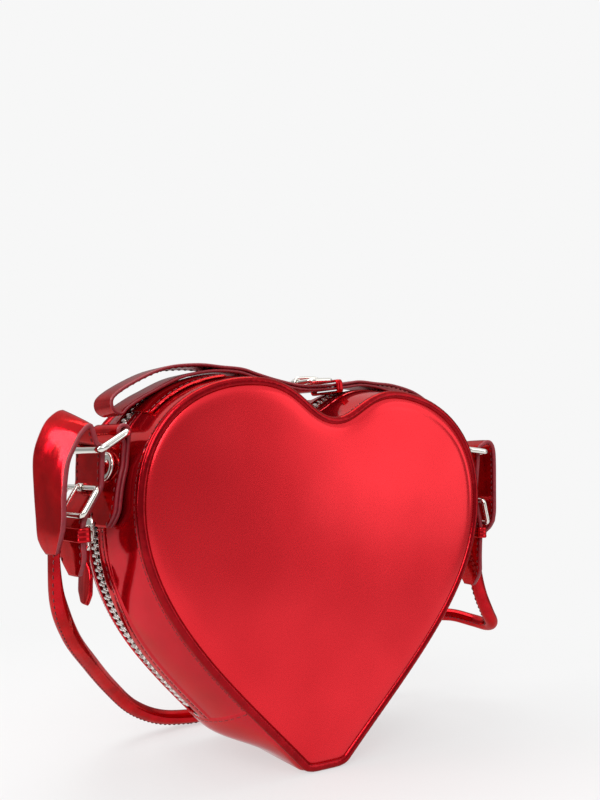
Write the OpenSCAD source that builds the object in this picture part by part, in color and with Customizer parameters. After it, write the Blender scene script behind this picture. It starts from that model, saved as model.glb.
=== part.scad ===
// Heart shaped purse that opens as a clamshell round a metal zip.
// X runs across the heart, the photographed plain face looks to -Y and Z is up.
// The origin is the middle of the flat under the tip, on the table.

/* [Heart body] */
// Width across both lobes, outside of the piping
body_w = 200; // [120:1:260]
// Height of the lobes above the table
body_h = 183.5; // [130:0.5:240]
// How far the widest place lies below the lobes' tops
widest_drop = 56; // [46:0.5:76]
// Depth of the cleft between the lobes
cleft_drop = 15.5; // [8:0.5:26]
// Distance of each lobe's top from the middle
lobe_x = 41; // [30:0.5:52]
// Depth between the front and the back piping
body_d = 70; // [40:1:100]
// Width of the flat under the tip
tip_flat = 10; // [6:0.5:16]
// Height of the seams of the base patch
base_seam_h = 31; // [22:0.5:40]

/* [Leather and lining] */
// Thickness of the padded front and back panels
panel_t = 3; // [1.5:0.1:5]
// Diameter of the piping
piping_d = 4.4; // [3:0.1:6]
// Thickness of the gusset leather
gusset_t = 1.8; // [1:0.1:2.5]
// Thickness of the stiffener boards
board_t = 1.2; // [0.6:0.1:2]
// Thickness of the lining cloth
lining_t = 0.7; // [0.4:0.1:1.2]
// How far the gusset bulges at the zip near the base
bulge_low = 11; // [4:0.5:14]
// How far the gusset bulges at the zip over the lobes
bulge_top = 2.2; // [1:0.1:3]
// Width of the slip pocket inside
pocket_w = 96; // [60:1:110]
// Height of the slip pocket inside
pocket_h = 58; // [40:1:70]

/* [Zip] */
// Space between one zip tooth and the next on the same tape
tooth_pitch = 3.3; // [2.4:0.1:6]
// Length of a zip tooth across the tape
tooth_l = 4.2; // [3:0.1:5]
// Width of a zip tooth along the tape
tooth_w = 1.5; // [0.8:0.05:2]
// Height of a zip tooth
tooth_h = 2.1; // [1.5:0.1:3.2]
// How far the closed zip slider lies below the lobes' tops, on the left side
slider_drop = 70.5; // [65:0.5:80]
// Width of the leather zip pull
pull_w = 16; // [10:0.5:20]
// Length of the leather zip pull
pull_l = 26; // [18:0.5:34]

/* [Side hardware] */
// Width of the leather side tabs and of the belts of the strap
tab_w = 22; // [16:0.5:24]
// Thickness of the belt leather
belt_t = 2.2; // [1.5:0.1:3]
// How far the bar that each side tab holds lies below the lobes' tops
ring_drop = 27.5; // [25:0.5:33]
// Drop of the side tabs below that bar
tab_drop = 40.5; // [32:0.5:44]
// Wire of the rings and buckles
wire_d = 3.2; // [2.2:0.1:3.6]
// Gap between the left stud and the belt in front of it
belt_gap = 5.3; // [2:0.1:9]
// Droop of the left ring below level
droop_left = 33; // [5:1:40]
// Droop of the right ring below level
droop_right = 4; // [0:1:30]
// Diameter of the round studs on the tabs
stud_d = 13; // [8:0.5:16]
// Yaw of the side hardware, with its back edge outwards
side_yaw = 9; // [0:1:15]

/* [Shoulder strap] */
// Drop of the left belt's outer end below the ring
drop_left = 43; // [38:1:50]
// Drop of the right belt's outer end below the ring
drop_right = 49; // [42:1:56]
// Drop of the left belt's free tip below the ring
tip_left = 52; // [48:1:58]
// Drop of the right belt's free tip below the ring
tip_right = 76; // [70:1:82]
// How far the left belt arches out from the ring
spread_left = 15; // [14:0.5:20]
// How far the right belt arches out from the ring
spread_right = 9; // [8:0.5:16]
// Diameter of the rolled strap
roll_d = 7.6; // [6:0.1:9]
// Drop of the left buckle below the ring
buckle_left = 17; // [15:0.5:19]
// Drop of the right buckle below the ring
buckle_right = 28; // [26:0.5:31]

/* [Top handle] */
// Width of the handle belt
handle_w = 21; // [16:0.5:26]
// Thickness of one layer of the handle
handle_t = 1.5; // [1.2:0.1:1.9]
// Length of the handle from fold to fold
handle_l = 204; // [196:1:215]
// Clearance of the handle over the lobes
handle_gap = 2; // [2:0.1:6]
// How far the handle's end folds lie below the lobes' tops
fold_drop = 15.5; // [12:0.5:18]

/* [Hidden] */

// Clearance between pieces that are sewn or laid together
seat = 0.3;
// Clearance round a bar that turns in leather
turn_gap = 0.08;
// Overrun of a cut past the face it cuts
over = 1;
// Half of the depth, the plane of each piping's middle
half_d = body_d / 2;
widest_h = body_h - widest_drop;
cleft_h = body_h - cleft_drop;
slider_h = body_h - slider_drop;
ring_h = body_h - ring_drop;
fold_h = body_h - fold_drop;
piping_r = piping_d / 2;
wire_r = wire_d / 2;
roll_r = roll_d / 2;
red = "crimson";
dark_red = "darkred";
steel = "silver";
cloth = "maroon";

// Outline of the heart

// Height and reach of the round under the tip, as shares of the height
tip_round_share = [0.046, 0.013];
// Ease of the round from the flat into the sides
tip_ease_share = [0.5, 0.6];
// Handle lengths of the curves of the outline, as shares of width and height
side_low_share = 0.3;
side_high_share = 0.262;
lobe_side_share = 0.213;
lobe_top_share = 0.142;
cleft_out_share = 0.112;
cleft_in_share = 0.068;
tip_steps = 4;
side_steps = 20;
lobe_steps = 14;
cleft_steps = 9;

function mix(a, b, t) = a + (b - a) * t;
function clamp01(t) = min(1, max(0, t));
function smooth(t) = let(c = clamp01(t)) c * c * (3 - 2 * c);
function bezier(p, t) = let(s = 1 - t)
    s * s * s * p[0] + 3 * s * s * t * p[1] + 3 * s * t * t * p[2] + t * t * t * p[3];
function unit(v) = v / norm(v);
function flip(list) = [for (i = [len(list) - 1:-1:0]) list[i]];
function mirror_x(list) = [for (p = list) [-p[0], p[1]]];

tip_end = [tip_flat / 2 + body_h * tip_round_share[0], body_h * tip_round_share[1]];
side_start = tip_end;
tip_curve = [[tip_flat / 2, 0], [mix(tip_flat / 2, tip_end[0], tip_ease_share[0]), 0],
    tip_end - [1, 1] * tip_end[1] * tip_ease_share[1], tip_end];
side_curve = [side_start, side_start + [1, 1] * body_w * side_low_share * sin(45),
    [body_w / 2, widest_h - body_h * side_high_share], [body_w / 2, widest_h]];
lobe_curve = [[body_w / 2, widest_h], [body_w / 2, widest_h + body_h * lobe_side_share],
    [lobe_x + body_w * lobe_top_share, body_h], [lobe_x, body_h]];
cleft_curve = [[lobe_x, body_h], [lobe_x - body_w * cleft_out_share, body_h],
    [body_w * cleft_in_share, cleft_h], [0, cleft_h]];

// Place along the side curve where the base patch ends, found by halving
function seam_place(lo, hi, n) = let(mid = (lo + hi) / 2)
    n == 0 ? mid :
    bezier(side_curve, mid)[1] > base_seam_h ? seam_place(lo, mid, n - 1) : seam_place(mid, hi, n - 1);
seam_t = seam_place(0, 0.8, 16);
seam_step = 0.01;
seam_speed = norm(bezier(side_curve, seam_t + seam_step) - bezier(side_curve, seam_t)) / seam_step;
seam_dt = seat / 2 / seam_speed;

// Right half of the outline from the tip up to the base seam, and from there to the cleft
base_half = concat(
    [for (i = [0:tip_steps]) bezier(tip_curve, i / tip_steps)],
    [for (i = [1:5]) bezier(side_curve, (seam_t - seam_dt) * i / 5)]);
wall_half = concat(
    [for (i = [0:side_steps]) bezier(side_curve, mix(seam_t + seam_dt, 1, i / side_steps))],
    [for (i = [1:lobe_steps]) bezier(lobe_curve, i / lobe_steps)],
    [for (i = [1:cleft_steps]) bezier(cleft_curve, i / cleft_steps)]);
side_half = concat(base_half, [bezier(side_curve, seam_t)], wall_half);

// The base patch runs from the left seam under the tip to the right seam
base_path = concat(flip(mirror_x(base_half)), base_half);
// The gussets run from the right seam over both lobes to the left seam
wall_path = concat(wall_half, [for (i = [len(wall_half) - 2:-1:0]) [-wall_half[i][0], wall_half[i][1]]]);
// The closed outline, anticlockwise from the right end of the flat
outline = concat(side_half, [for (i = [len(side_half) - 2:-1:0]) [-side_half[i][0], side_half[i][1]]]);

// Outward normal of each point of an anticlockwise path
function normal_at(path, i, closed) = let(n = len(path),
    a = closed ? path[(i + n - 1) % n] : path[max(0, i - 1)],
    b = closed ? path[(i + 1) % n] : path[min(n - 1, i + 1)],
    t = unit(b - a)) [t[1], -t[0]];
function grown(path, d) = [for (i = [0:len(path) - 1]) path[i] + normal_at(path, i, true) * d];

// The wall of the bag

// Heights between which the bulge swells, and then fades
swell_h = base_seam_h * 0.9;
fade_from_h = body_h * 0.33;
fade_to_h = body_h * 0.87;
// Inset of the gusset's edge from the outer edge of the piping
edge_inset = piping_d * 0.3;
// Where the gusset's leather starts behind the piping, and where it folds at the zip
edge_y = half_d - piping_r - seat;
fold_y = 6;
tape_out_y = 9.5;
tape_in_y = 1;
tooth_gap = 0.15;

function bulge(z) = mix(bulge_low, bulge_top, smooth((z - fade_from_h) / (fade_to_h - fade_from_h)))
    * smooth(z / swell_h);
// Offset of the wall's outer face from the outline, at a height and a depth
function wall_off(z, y) = let(inset = edge_inset * smooth(z / swell_h), u = abs(y) / edge_y)
    -inset + (bulge(z) + inset) * (1 - u * u);
// Outer face of the wall at a height on the right side, for what is mounted there
function side_x_at(z) = let(i = [for (k = [0:len(wall_half) - 2])
        if (wall_half[k][1] <= z && wall_half[k + 1][1] > z) k][0],
    p = wall_half[i], q = wall_half[i + 1]) mix(p[0], q[0], (z - p[1]) / (q[1] - p[1]));

// Solid swept along a path in XZ: loops of [y, outward offset] that may change with the height
module sweep_wall(path, loops) {
    n = len(path);
    k = len(loops[0]);
    points = [for (i = [0:n - 1]) let(nm = normal_at(path, i, false)) for (q = loops[i])
        let(p = path[i] + nm * q[1]) [p[0], q[0], p[1]]];
    faces = concat(
        [for (i = [0:n - 2], j = [0:k - 1]) [i * k + j, i * k + (j + 1) % k, (i + 1) * k + (j + 1) % k]],
        [for (i = [0:n - 2], j = [0:k - 1]) [i * k + j, (i + 1) * k + (j + 1) % k, (i + 1) * k + j]],
        [[for (j = [k - 1:-1:0]) j]],
        [[for (j = [0:k - 1]) (n - 1) * k + j]]);
    polyhedron(points, [for (f = faces) flip(f)]);
}

// Closed loop of a layer between two depths of the wall
function layer_loop(z, ys, lift, t) = concat(
    [for (y = ys) [y, wall_off(z, y) + lift]],
    [for (y = flip(ys)) [y, wall_off(z, y) + lift - t]]);

module wall_layer(path, ys, lift, t) {
    sweep_wall(path, [for (p = path) layer_loop(p[1], ys, lift, t)]);
}

wall_steps = 5;
wall_ys = [for (i = [0:wall_steps]) mix(-edge_y, -fold_y, i / wall_steps)];
base_steps = 8;
base_ys = [for (i = [0:base_steps]) mix(-edge_y, edge_y, i / base_steps)];

module gusset() color(red) wall_layer(wall_path, wall_ys, 0, gusset_t);
module front_gusset() gusset();
module back_gusset() mirror([0, 1, 0]) gusset();
module base_gusset() color(red) wall_layer(base_path, base_ys, 0, gusset_t);

// Round cord in leather along the outline
piping_sides = 8;
module piping() {
    n = len(outline);
    points = [for (i = [0:n - 1]) let(nm = normal_at(outline, i, true))
        for (j = [0:piping_sides - 1])
            let(a = 360 * (j + 0.5) / piping_sides, r = piping_r / cos(180 / piping_sides),
                p = outline[i] - nm * (piping_r - r * cos(a)))
            [p[0], r * sin(a) - half_d, p[1]]];
    m = piping_sides;
    faces = concat(
        [for (i = [0:n - 1], j = [0:m - 1])
            [i * m + j, i * m + (j + 1) % m, ((i + 1) % n) * m + (j + 1) % m]],
        [for (i = [0:n - 1], j = [0:m - 1])
            [i * m + j, ((i + 1) % n) * m + (j + 1) % m, ((i + 1) % n) * m + j]]);
    polyhedron(points, [for (f = faces) flip(f)]);
}
module front_piping() color(dark_red) piping();
module back_piping() color(dark_red) mirror([0, 1, 0]) piping();

// Flat heart of a given inset, standing between two depths
module heart_plate(inset, y0, y1) {
    translate([0, y1, 0]) rotate([90, 0, 0]) linear_extrude(y1 - y0) polygon(grown(outline, -inset));
}

panel_inset = piping_d + seat;
board_inset = panel_inset + 1.5 * seat;
lining_inset = edge_inset + gusset_t + seat * 0.6;
panel_y = half_d + piping_r * 0.4;
board_y = panel_y - panel_t;
lining_y = board_y - board_t;

module panel() heart_plate(panel_inset, -panel_y, -board_y);
module front_panel() color(red) panel();
module back_panel() color(red) mirror([0, 1, 0]) panel();
module board() heart_plate(board_inset, -board_y, -lining_y);
module front_board() color("tan") board();
module back_board() color("tan") mirror([0, 1, 0]) board();

// Lining: a heart of cloth on the board and a band inside the gusset, sewn together
band_y = lining_y - lining_t;
band_end_y = tape_out_y + seat;
band_ys = [-band_y - lining_t / 2, -mix(band_y, band_end_y, 0.5), -band_end_y];
band_skip = 2;
band_path = [for (i = [0:band_skip:len(wall_path) - 1]) wall_path[i]];
lining_reach = gusset_t + seat * 2;
module lining() {
    heart_plate(lining_inset, -lining_y, -band_y);
    wall_layer(band_path, band_ys, -lining_reach, lining_t);
}
module front_lining() color(cloth) lining();
module back_lining() color(cloth) mirror([0, 1, 0]) lining();

// Slip pocket of lining cloth on the back lining
pocket_h0 = body_h * 0.36;
pocket_round = pocket_w * 0.12;
module slip_pocket() color(cloth)
    translate([0, band_y - seat, pocket_h0 + pocket_h / 2]) rotate([90, 0, 0])
        linear_extrude(lining_t) {
            square([pocket_w, pocket_h - 2 * pocket_round], center = true);
            translate([0, pocket_round / 2]) square([pocket_w, pocket_h - pocket_round], center = true);
            square([pocket_w - 2 * pocket_round, pocket_h], center = true);
            for (s = [-1, 1]) translate([s * (pocket_w / 2 - pocket_round), pocket_round - pocket_h / 2])
                circle(pocket_round, $fn = 32);
        }

// The zip

tape_t = 0.8;
tape_sink = gusset_t + seat;
tape_ys = [-tape_out_y, -tape_in_y];
module tape() wall_layer(wall_path, tape_ys, -tape_sink, tape_t);
module zip_tape_front() color("firebrick") tape();
module zip_tape_back() color("firebrick") mirror([0, 1, 0]) tape();

// Line along which the teeth stand, and its running length
zip_line = [for (i = [0:len(wall_path) - 1]) let(p = wall_path[i])
    p + normal_at(wall_path, i, false) * (wall_off(p[1], 0) - tape_sink)];
function running(path, i) = i == 0 ? [0] :
    let(before = running(path, i - 1)) concat(before, [before[i - 1] + norm(path[i] - path[i - 1])]);
zip_run = running(zip_line, len(zip_line) - 1);
zip_l = zip_run[len(zip_run) - 1];
function place_on(s) = let(i = [for (k = [0:len(zip_run) - 2]) if (zip_run[k] <= s && zip_run[k + 1] > s) k][0],
    t = (s - zip_run[i]) / (zip_run[i + 1] - zip_run[i])) [mix(zip_line[i], zip_line[i + 1], t),
    unit(zip_line[i + 1] - zip_line[i])];
stop_l = 4;
tooth_count = floor((zip_l - 2 * stop_l) / tooth_pitch) - 1;

// A block on the zip line: s along it, y across it, standing on the tape
module on_zip(s) {
    place = place_on(s);
    translate([place[0][0], 0, place[0][1]])
        rotate([0, -atan2(place[1][1], place[1][0]), 0]) children();
}
module teeth(shift) for (i = [0:tooth_count - 1])
    on_zip(stop_l + tooth_pitch * (i + 0.5 + shift))
        translate([-tooth_w / 2, -tooth_gap - tooth_l, -tooth_h - seat * 0.5])
            cube([tooth_w, tooth_l, tooth_h]);
module zip_teeth_front() color(steel) teeth(0);
module zip_teeth_back() color(steel) mirror([0, 1, 0]) teeth(0.5);
module zip_end_stops() color(steel) for (s = [stop_l / 2, zip_l - stop_l / 2]) on_zip(s)
    translate([-stop_l * 0.35, -tape_out_y * 0.55, -tooth_h - seat * 0.5])
        cube([stop_l * 0.7, tape_out_y * 0.55 - tooth_gap, tooth_h]);

// The closed slider stands on the teeth of the left side and carries its pull
slider_l = 11;
slider_w = 9;
slider_t = 1.5;
slider_round = 3;
slider_x = side_x_at(slider_h) + wall_off(slider_h, 0) - tape_sink + tooth_h + seat * 1.5;
slope_step = 2;
slider_lean = atan((side_x_at(slider_h + slope_step) + wall_off(slider_h + slope_step, 0)
    - side_x_at(slider_h - slope_step) - wall_off(slider_h - slope_step, 0)) / (2 * slope_step));
link_r = 0.7;
arch_t = 1;
arch_in = 2 * (link_r + turn_gap);
arch_w = 2.4;
pull_t = 2;
link_w = 7;
link_l = 8;
// Places on the slider: z along the zip, x outwards from the slider's under face
module on_slider() mirror([1, 0, 0]) translate([slider_x, 0, slider_h]) rotate([0, slider_lean, 0])
    children();
module rounded_bar(l, w, t, r) rotate([0, 90, 0]) linear_extrude(t) {
    square([l - 2 * r, w], center = true);
    square([l, w - 2 * r], center = true);
    for (i = [-1, 1], j = [-1, 1]) translate([i * (l / 2 - r), j * (w / 2 - r)]) circle(r, $fn = 32);
}
module zip_slider() color(steel) on_slider() {
    rounded_bar(slider_l, slider_w, slider_t, slider_round);
    translate([slider_t, 0, 0]) rotate([90, 0, 0]) linear_extrude(arch_w, center = true)
        difference() {
            translate([0, -arch_in / 2 - arch_t]) square([arch_in + arch_t, arch_in + 2 * arch_t]);
            translate([-over, -arch_in / 2]) square([arch_in + over, arch_in]);
        }
}
// Middle of the bar of the link, in the arch of the slider
link_x = slider_t + arch_in / 2;
function on_slider_place(x, z) = [-(slider_x + x * cos(slider_lean) + z * sin(slider_lean)), 0,
    slider_h - x * sin(slider_lean) + z * cos(slider_lean)];
link_place = on_slider_place(link_x, 0);
module rod(a, b, r) {
    d = b - a;
    translate(a) rotate([0, acos(d[2] / norm(d)), atan2(d[1], d[0])]) cylinder(norm(d), r, r, $fn = 32);
}
module zip_pull_link() color(steel) translate(link_place) {
    for (z = [0, -link_l]) rod([0, -link_w / 2, z], [0, link_w / 2, z], link_r);
    for (s = [-1, 1]) {
        rod([0, s * link_w / 2, 0], [0, s * link_w / 2, -link_l], link_r);
        for (z = [0, -link_l]) translate([0, s * link_w / 2, z]) sphere(link_r, $fn = 32);
    }
}
// The pull is a folded leather loop with a narrow neck and a blunt pointed paddle
pull_neck_w = pull_w * 0.34;
pull_neck_l = pull_l * 0.35;
pull_outline_share = [[0.17, 0], [0.17, -0.3], [0.46, -0.42], [0.5, -0.8], [0.24, -1]];
module zip_pull_leather() color(dark_red) translate(link_place - [0, 0, link_l]) difference() {
    translate([-pull_t / 2, 0, 0]) rotate([90, 0, 90]) linear_extrude(pull_t)
        polygon(concat([for (p = pull_outline_share) [p[0] * pull_w, p[1] * pull_l + link_r + pull_t / 2]],
            [for (p = flip(pull_outline_share)) [-p[0] * pull_w, p[1] * pull_l + link_r + pull_t / 2]]));
    rod([0, -pull_w, 0], [0, pull_w, 0], link_r + turn_gap);
}

// The side hardware, drawn in XZ at its middle and set out across its width

// Smooth curve through points, by Catmull and Rom's rule
function spline(p, n) = concat([for (i = [0:len(p) - 2], k = [0:n - 1])
    let(a = p[max(0, i - 1)], b = p[i], c = p[i + 1], d = p[min(len(p) - 1, i + 2)], t = k / n)
    (2 * b + (c - a) * t + (2 * a - 5 * b + 4 * c - d) * t * t + (3 * b - a - 3 * c + d) * t * t * t) / 2],
    [p[len(p) - 1]]);
module ribbon(path, t) {
    n = len(path) - 1;
    polygon(concat([for (i = [0:n]) path[i] + normal_at(path, i, false) * t / 2],
        [for (i = [n:-1:0]) path[i] - normal_at(path, i, false) * t / 2]));
}

tab_t = belt_t * 0.85;
tab_y = -(half_d - piping_d * 2 - tab_w / 2);
tab_end_h = ring_h - tab_drop;
stud_h = mix(tab_end_h, ring_h, 0.63);
// Share of the wall's slope that a tab keeps above its stud: the left tab stands off, the right one lies on it
tab_ease_share = [0.15, 1];
function tab_wall(z) = side_x_at(z) + wall_off(z, tab_y) + seat * 1.5;
function tab_face(left, z) = z <= stud_h ? tab_wall(z) :
    mix(tab_wall(stud_h), tab_wall(z), tab_ease_share[left ? 0 : 1]);
yaw_x = tab_wall(stud_h);
bar_gap = wire_r + turn_gap;
// The bar stands clear of the tab's slope, and the fold goes round it
tab_slope_step = 2;
function tab_slope(left) = atan((tab_face(left, ring_h - tab_slope_step) - tab_face(left, ring_h)) / tab_slope_step);
function bar_x(left) = tab_face(left, ring_h) + tab_t / 2 + (tab_t / 2 + bar_gap) / cos(tab_slope(left));
// The rings reach out until the left belt hangs clear of its stud
stud_t = 1.6;
belt_r = bar_gap + belt_t / 2;
// A stud lies across the bend of its tab
function stud_ends(left) = [tab_face(left, stud_h - stud_d / 2), tab_face(left, stud_h + stud_d / 2)];
function stud_rest(left) = max(yaw_x, (stud_ends(left)[0] + stud_ends(left)[1]) / 2);
function stud_lean(left) = atan((stud_ends(left)[0] - stud_ends(left)[1]) / stud_d);
function stud_front(left) = stud_rest(left) + tab_t * 1.95 + seat * 0.7 + stud_t;
ring_reach = (stud_front(true) + belt_gap + belt_t / 2 + belt_r - bar_x(true))
    / cos(droop_left);
function droop(left) = left ? droop_left : droop_right;
function outer_bar(left) = [bar_x(left) + ring_reach * cos(droop(left)), ring_h - ring_reach * sin(droop(left))];
mirrored = [1, 0, 0];
upright = [0, 0, 0];

// Turns a right-hand piece to the yaw of the side, or mirrors it to the left
module at_side(left) mirror(left ? mirrored : upright) translate([yaw_x, tab_y, 0])
    rotate([0, 0, -side_yaw]) translate([-yaw_x, 0, 0]) children();
module across(w) rotate([90, 0, 0]) linear_extrude(w, center = true) children();
// A strip seen from outside: half widths at heights, cut through everything
module strip_outline(points) translate([-over, 0, 0]) rotate([90, 0, 90]) linear_extrude(body_w)
    polygon(concat(points, [for (p = flip(points)) [-p[0], p[1]]]));

tab_steps = 6;
sewn_h = ring_h - bar_gap * 3.4;
tab_heights = concat([for (i = [0:tab_steps - 1]) mix(tab_end_h, sewn_h, i / tab_steps)],
    [for (i = [0:tab_steps]) mix(sewn_h, ring_h, i / tab_steps)]);
// Share of the way from the seam to the bar on which the outer layer spreads round the bar
tab_spread_share = 0.75;
module tab_profile(left) {
    lift = bar_x(left) - tab_face(left, ring_h) + bar_gap + tab_t / 2;
    inner = [for (z = tab_heights) [tab_face(left, z) + tab_t / 2, z]];
    outer = [for (z = tab_heights) [tab_face(left, z) + mix(tab_t * 1.45, lift,
        smooth((z - sewn_h) / (ring_h - sewn_h) / tab_spread_share)), z]];
    ribbon(inner, tab_t);
    ribbon(outer, tab_t);
    translate([bar_x(left), ring_h]) difference() {
        circle(bar_gap + tab_t, $fn = 48);
        circle(bar_gap, $fn = 48);
        translate([-tab_drop, -tab_drop]) square([2 * tab_drop, tab_drop]);
    }
}
tab_point = tab_w * 0.3;
module side_tab(left) color(dark_red) at_side(left) intersection() {
    across(tab_w) tab_profile(left);
    strip_outline([[tab_w / 2 - tab_point, tab_end_h - over], [tab_w / 2 - tab_point, tab_end_h],
        [tab_w / 2, tab_end_h + tab_point * 1.4], [tab_w / 2, ring_h + tab_drop]]);
}
module side_tab_left() side_tab(true);
module side_tab_right() side_tab(false);

// Domed stud with a raised rim on the outer face of the tab
stud_rim = stud_d * 0.09;
module stud(left) color(steel) at_side(left)
    translate([stud_rest(left) + tab_t * 1.95 + seat * 0.7, 0, stud_h]) rotate([0, 90 - stud_lean(left), 0])
        rotate_extrude($fn = 48) {
            square([stud_d / 2, stud_t * 0.6]);
            translate([stud_d / 2 - stud_rim, 0]) square([stud_rim, stud_t]);
            square([stud_d * 0.2, stud_t * 0.9]);
        }
module tab_stud_left() stud(true);
module tab_stud_right() stud(false);

// Rounded rectangle of wire, in the plane of local X and Y, with one bar on the Y axis
module wire_frame(reach, half_w, r, bend) {
    for (x = [0, reach]) rod([x, -half_w + bend, 0], [x, half_w - bend, 0], r);
    for (s = [-1, 1]) rod([bend, s * half_w, 0], [reach - bend, s * half_w, 0], r);
    for (i = [0, 1], s = [-1, 1]) translate([i * reach, s * half_w, 0]) mirror([i, 0, 0])
        mirror([0, s > 0 ? 1 : 0, 0]) translate([bend, bend, 0]) rotate([0, 0, 180])
            rotate_extrude(angle = 90, $fn = 32) translate([bend, 0]) circle(r, $fn = 32);
}
ring_bend = wire_r * 1.7;
ring_half_w = tab_w / 2 + seat + ring_bend;
module ring(left) color(steel) at_side(left) translate([bar_x(left), 0, ring_h]) rotate([0, droop(left), 0])
    wire_frame(ring_reach, ring_half_w, wire_r, ring_bend);
module ring_left() ring(true);
module ring_right() ring(false);

// The belts of the strap: up from the free tip, over the ring's outer bar and down to the roll

// Places along each belt: out as a share of its spread, and down as a share of its tip's or its end's drop
left_leg_share = [[0, 0.15], [0, 0.27], [0.1, 0.345], [0.42, 0.5], [0.52, 0.6], [0.5, 0.72], [0.42, 0.87], [0.34, 1]];
right_leg_share = [[-0.04, 0.1], [-0.13, 0.25], [-0.11, 0.36], [0.2, 0.5], [0.28, 0.6], [0.27, 0.79], [0.36, 1]];
left_arch_share = [[0.22, 0.66], [0.46, 0.95], [0.73, 1.02], [0.93, 0.7], [1, 0.2], [0.99, -0.1], [0.95, -0.34],
    [0.93, -0.54], [0.91, -0.76], [0.74, -1]];
right_arch_share = [[0.28, 0.62], [0.6, 0.62], [0.85, 0.25], [0.95, -0.1], [1, -0.45], [1.02, -0.7],
    [0.92, -0.86], [0.5, -1]];
belt_steps = 4;
function spread(left) = left ? spread_left : spread_right;
function end_drop(left) = left ? drop_left : drop_right;
function tip_drop(left) = left ? tip_left : tip_right;
function buckle_drop(left) = left ? buckle_left : buckle_right;
over_bar = [[-belt_r * 0.75, belt_r * 0.95], [0, belt_r * 1.45]];
// Least X of the middle of an inner leg, clear of the outer edge of the stud behind it
function leg_rest(left) = stud_front(left) + sin(stud_lean(left)) * stud_d / 2 + seat + belt_t / 2;
function inner_belt(left) = let(bar = outer_bar(left)) spline(concat(
    [for (p = flip(left ? left_leg_share : right_leg_share))
        [max(leg_rest(left), bar[0] + (p[0] * spread(left) - belt_r)), bar[1] - p[1] * tip_drop(left)]],
    [bar - [belt_r, 0]], [for (p = over_bar) bar + p]), belt_steps);
function outer_belt(left) = let(bar = outer_bar(left)) spline(concat(
    [for (p = over_bar) bar + p],
    [for (p = left ? left_arch_share : right_arch_share)
        bar + [p[0] * spread(left), p[1] * (p[1] > 0 ? spread(left) : end_drop(left))]]), belt_steps);
function belt_end_h(left) = outer_bar(left)[1] - end_drop(left);
function tip_h(left) = outer_bar(left)[1] - tip_drop(left);
belt_point = tab_w * 0.28;
// The outer end narrows on its front side, to the roll behind
end_back = tab_w * 0.12;
module strap_belt(left) color(dark_red) difference() {
    belt_legs(left);
    on_leg(left, buckle_h(left), buckle_l * 0.7, -belt_t / 2) cube([2 * belt_t, slot_w, slot_l], center = true);
}
module belt_legs(left) at_side(left) {
    intersection() {
        across(tab_w) ribbon(inner_belt(left), belt_t);
        strip_outline([[tab_w / 2 - belt_point * 1.2, tip_h(left) - over],
            [tab_w / 2 - belt_point * 1.2, tip_h(left) + over],
            [tab_w / 2, tip_h(left) + belt_point * 1.6], [tab_w / 2, ring_h + tab_drop]]);
    }
    intersection() {
        across(tab_w) ribbon(outer_belt(left), belt_t);
        translate([-over, 0, belt_end_h(left)]) rotate([90, 0, 90]) linear_extrude(body_w)
            polygon([[-tab_w / 2, tab_w + body_h], [-tab_w / 2, belt_point * 2.4], [-tab_w * 0.32, belt_point],
                [end_back - roll_r * 1.1, -over], [end_back + roll_r * 1.3, -over],
                [tab_w / 2, belt_point * 0.9], [tab_w / 2, tab_w + body_h]]);
    }
}
module strap_belt_left() strap_belt(true);
module strap_belt_right() strap_belt(false);

// Pin buckle on the outer face of the inner leg
buckle_wire_r = wire_r * 0.75;
buckle_l = 13;
buckle_half_w = tab_w / 2 + seat + buckle_wire_r * 1.6;
function buckle_h(left) = outer_bar(left)[1] - buckle_drop(left);
function leg_at(left, z) = let(path = inner_belt(left),
    i = [for (k = [0:len(path) - 2]) if (path[k][1] <= z && path[k + 1][1] > z) k][0])
    mix(path[i], path[i + 1], (z - path[i][1]) / (path[i + 1][1] - path[i][1]));
// Lean of the leg over a span that reaches down from one height
function leg_lean(left, z, span) = let(a = leg_at(left, z - span), b = leg_at(left, z))
    atan((a[0] - b[0]) / (b[1] - a[1]));
// Places against the outer face of the leg: x outwards, z along the leg
module on_leg(left, z, span, lift) at_side(left)
    translate([leg_at(left, z)[0], 0, z]) rotate([0, -leg_lean(left, z, span), 0])
        translate([belt_t / 2 + lift, 0, 0]) children();
buckle_lift = seat + buckle_wire_r;
// The prong's eye passes through a slot in the leather
prong_r = 0.9;
prong_w = 4;
eye_r = buckle_wire_r + turn_gap + prong_r;
slot_w = prong_w + 2 * seat;
slot_l = 2 * (eye_r + seat);
module belt_buckle(left) color(steel) on_leg(left, buckle_h(left), buckle_l * 0.7, buckle_lift)
    rotate([0, 90, 0]) wire_frame(buckle_l, buckle_half_w, buckle_wire_r, buckle_wire_r * 1.6);
module belt_buckle_left() belt_buckle(true);
module belt_buckle_right() belt_buckle(false);

// The prong turns on the buckle's upper bar and lies over its lower bar
prong_lift = buckle_wire_r + prong_r + turn_gap;
module prong() {
    translate([0, prong_w / 2, 0]) rotate([90, 0, 0]) difference() {
        cylinder(prong_w, eye_r, eye_r, $fn = 32);
        translate([0, 0, -over]) cylinder(prong_w + 2 * over, eye_r - prong_r, eye_r - prong_r, $fn = 32);
    }
    rod([prong_lift, 0, 0], [prong_lift, 0, -buckle_l - buckle_wire_r], prong_r);
    translate([prong_lift, 0, -buckle_l - buckle_wire_r]) sphere(prong_r, $fn = 32);
}
module belt_prong(left) color(steel) on_leg(left, buckle_h(left), buckle_l * 0.7, buckle_lift)
    prong();
module belt_prong_left() belt_prong(true);
module belt_prong_right() belt_prong(false);

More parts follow.
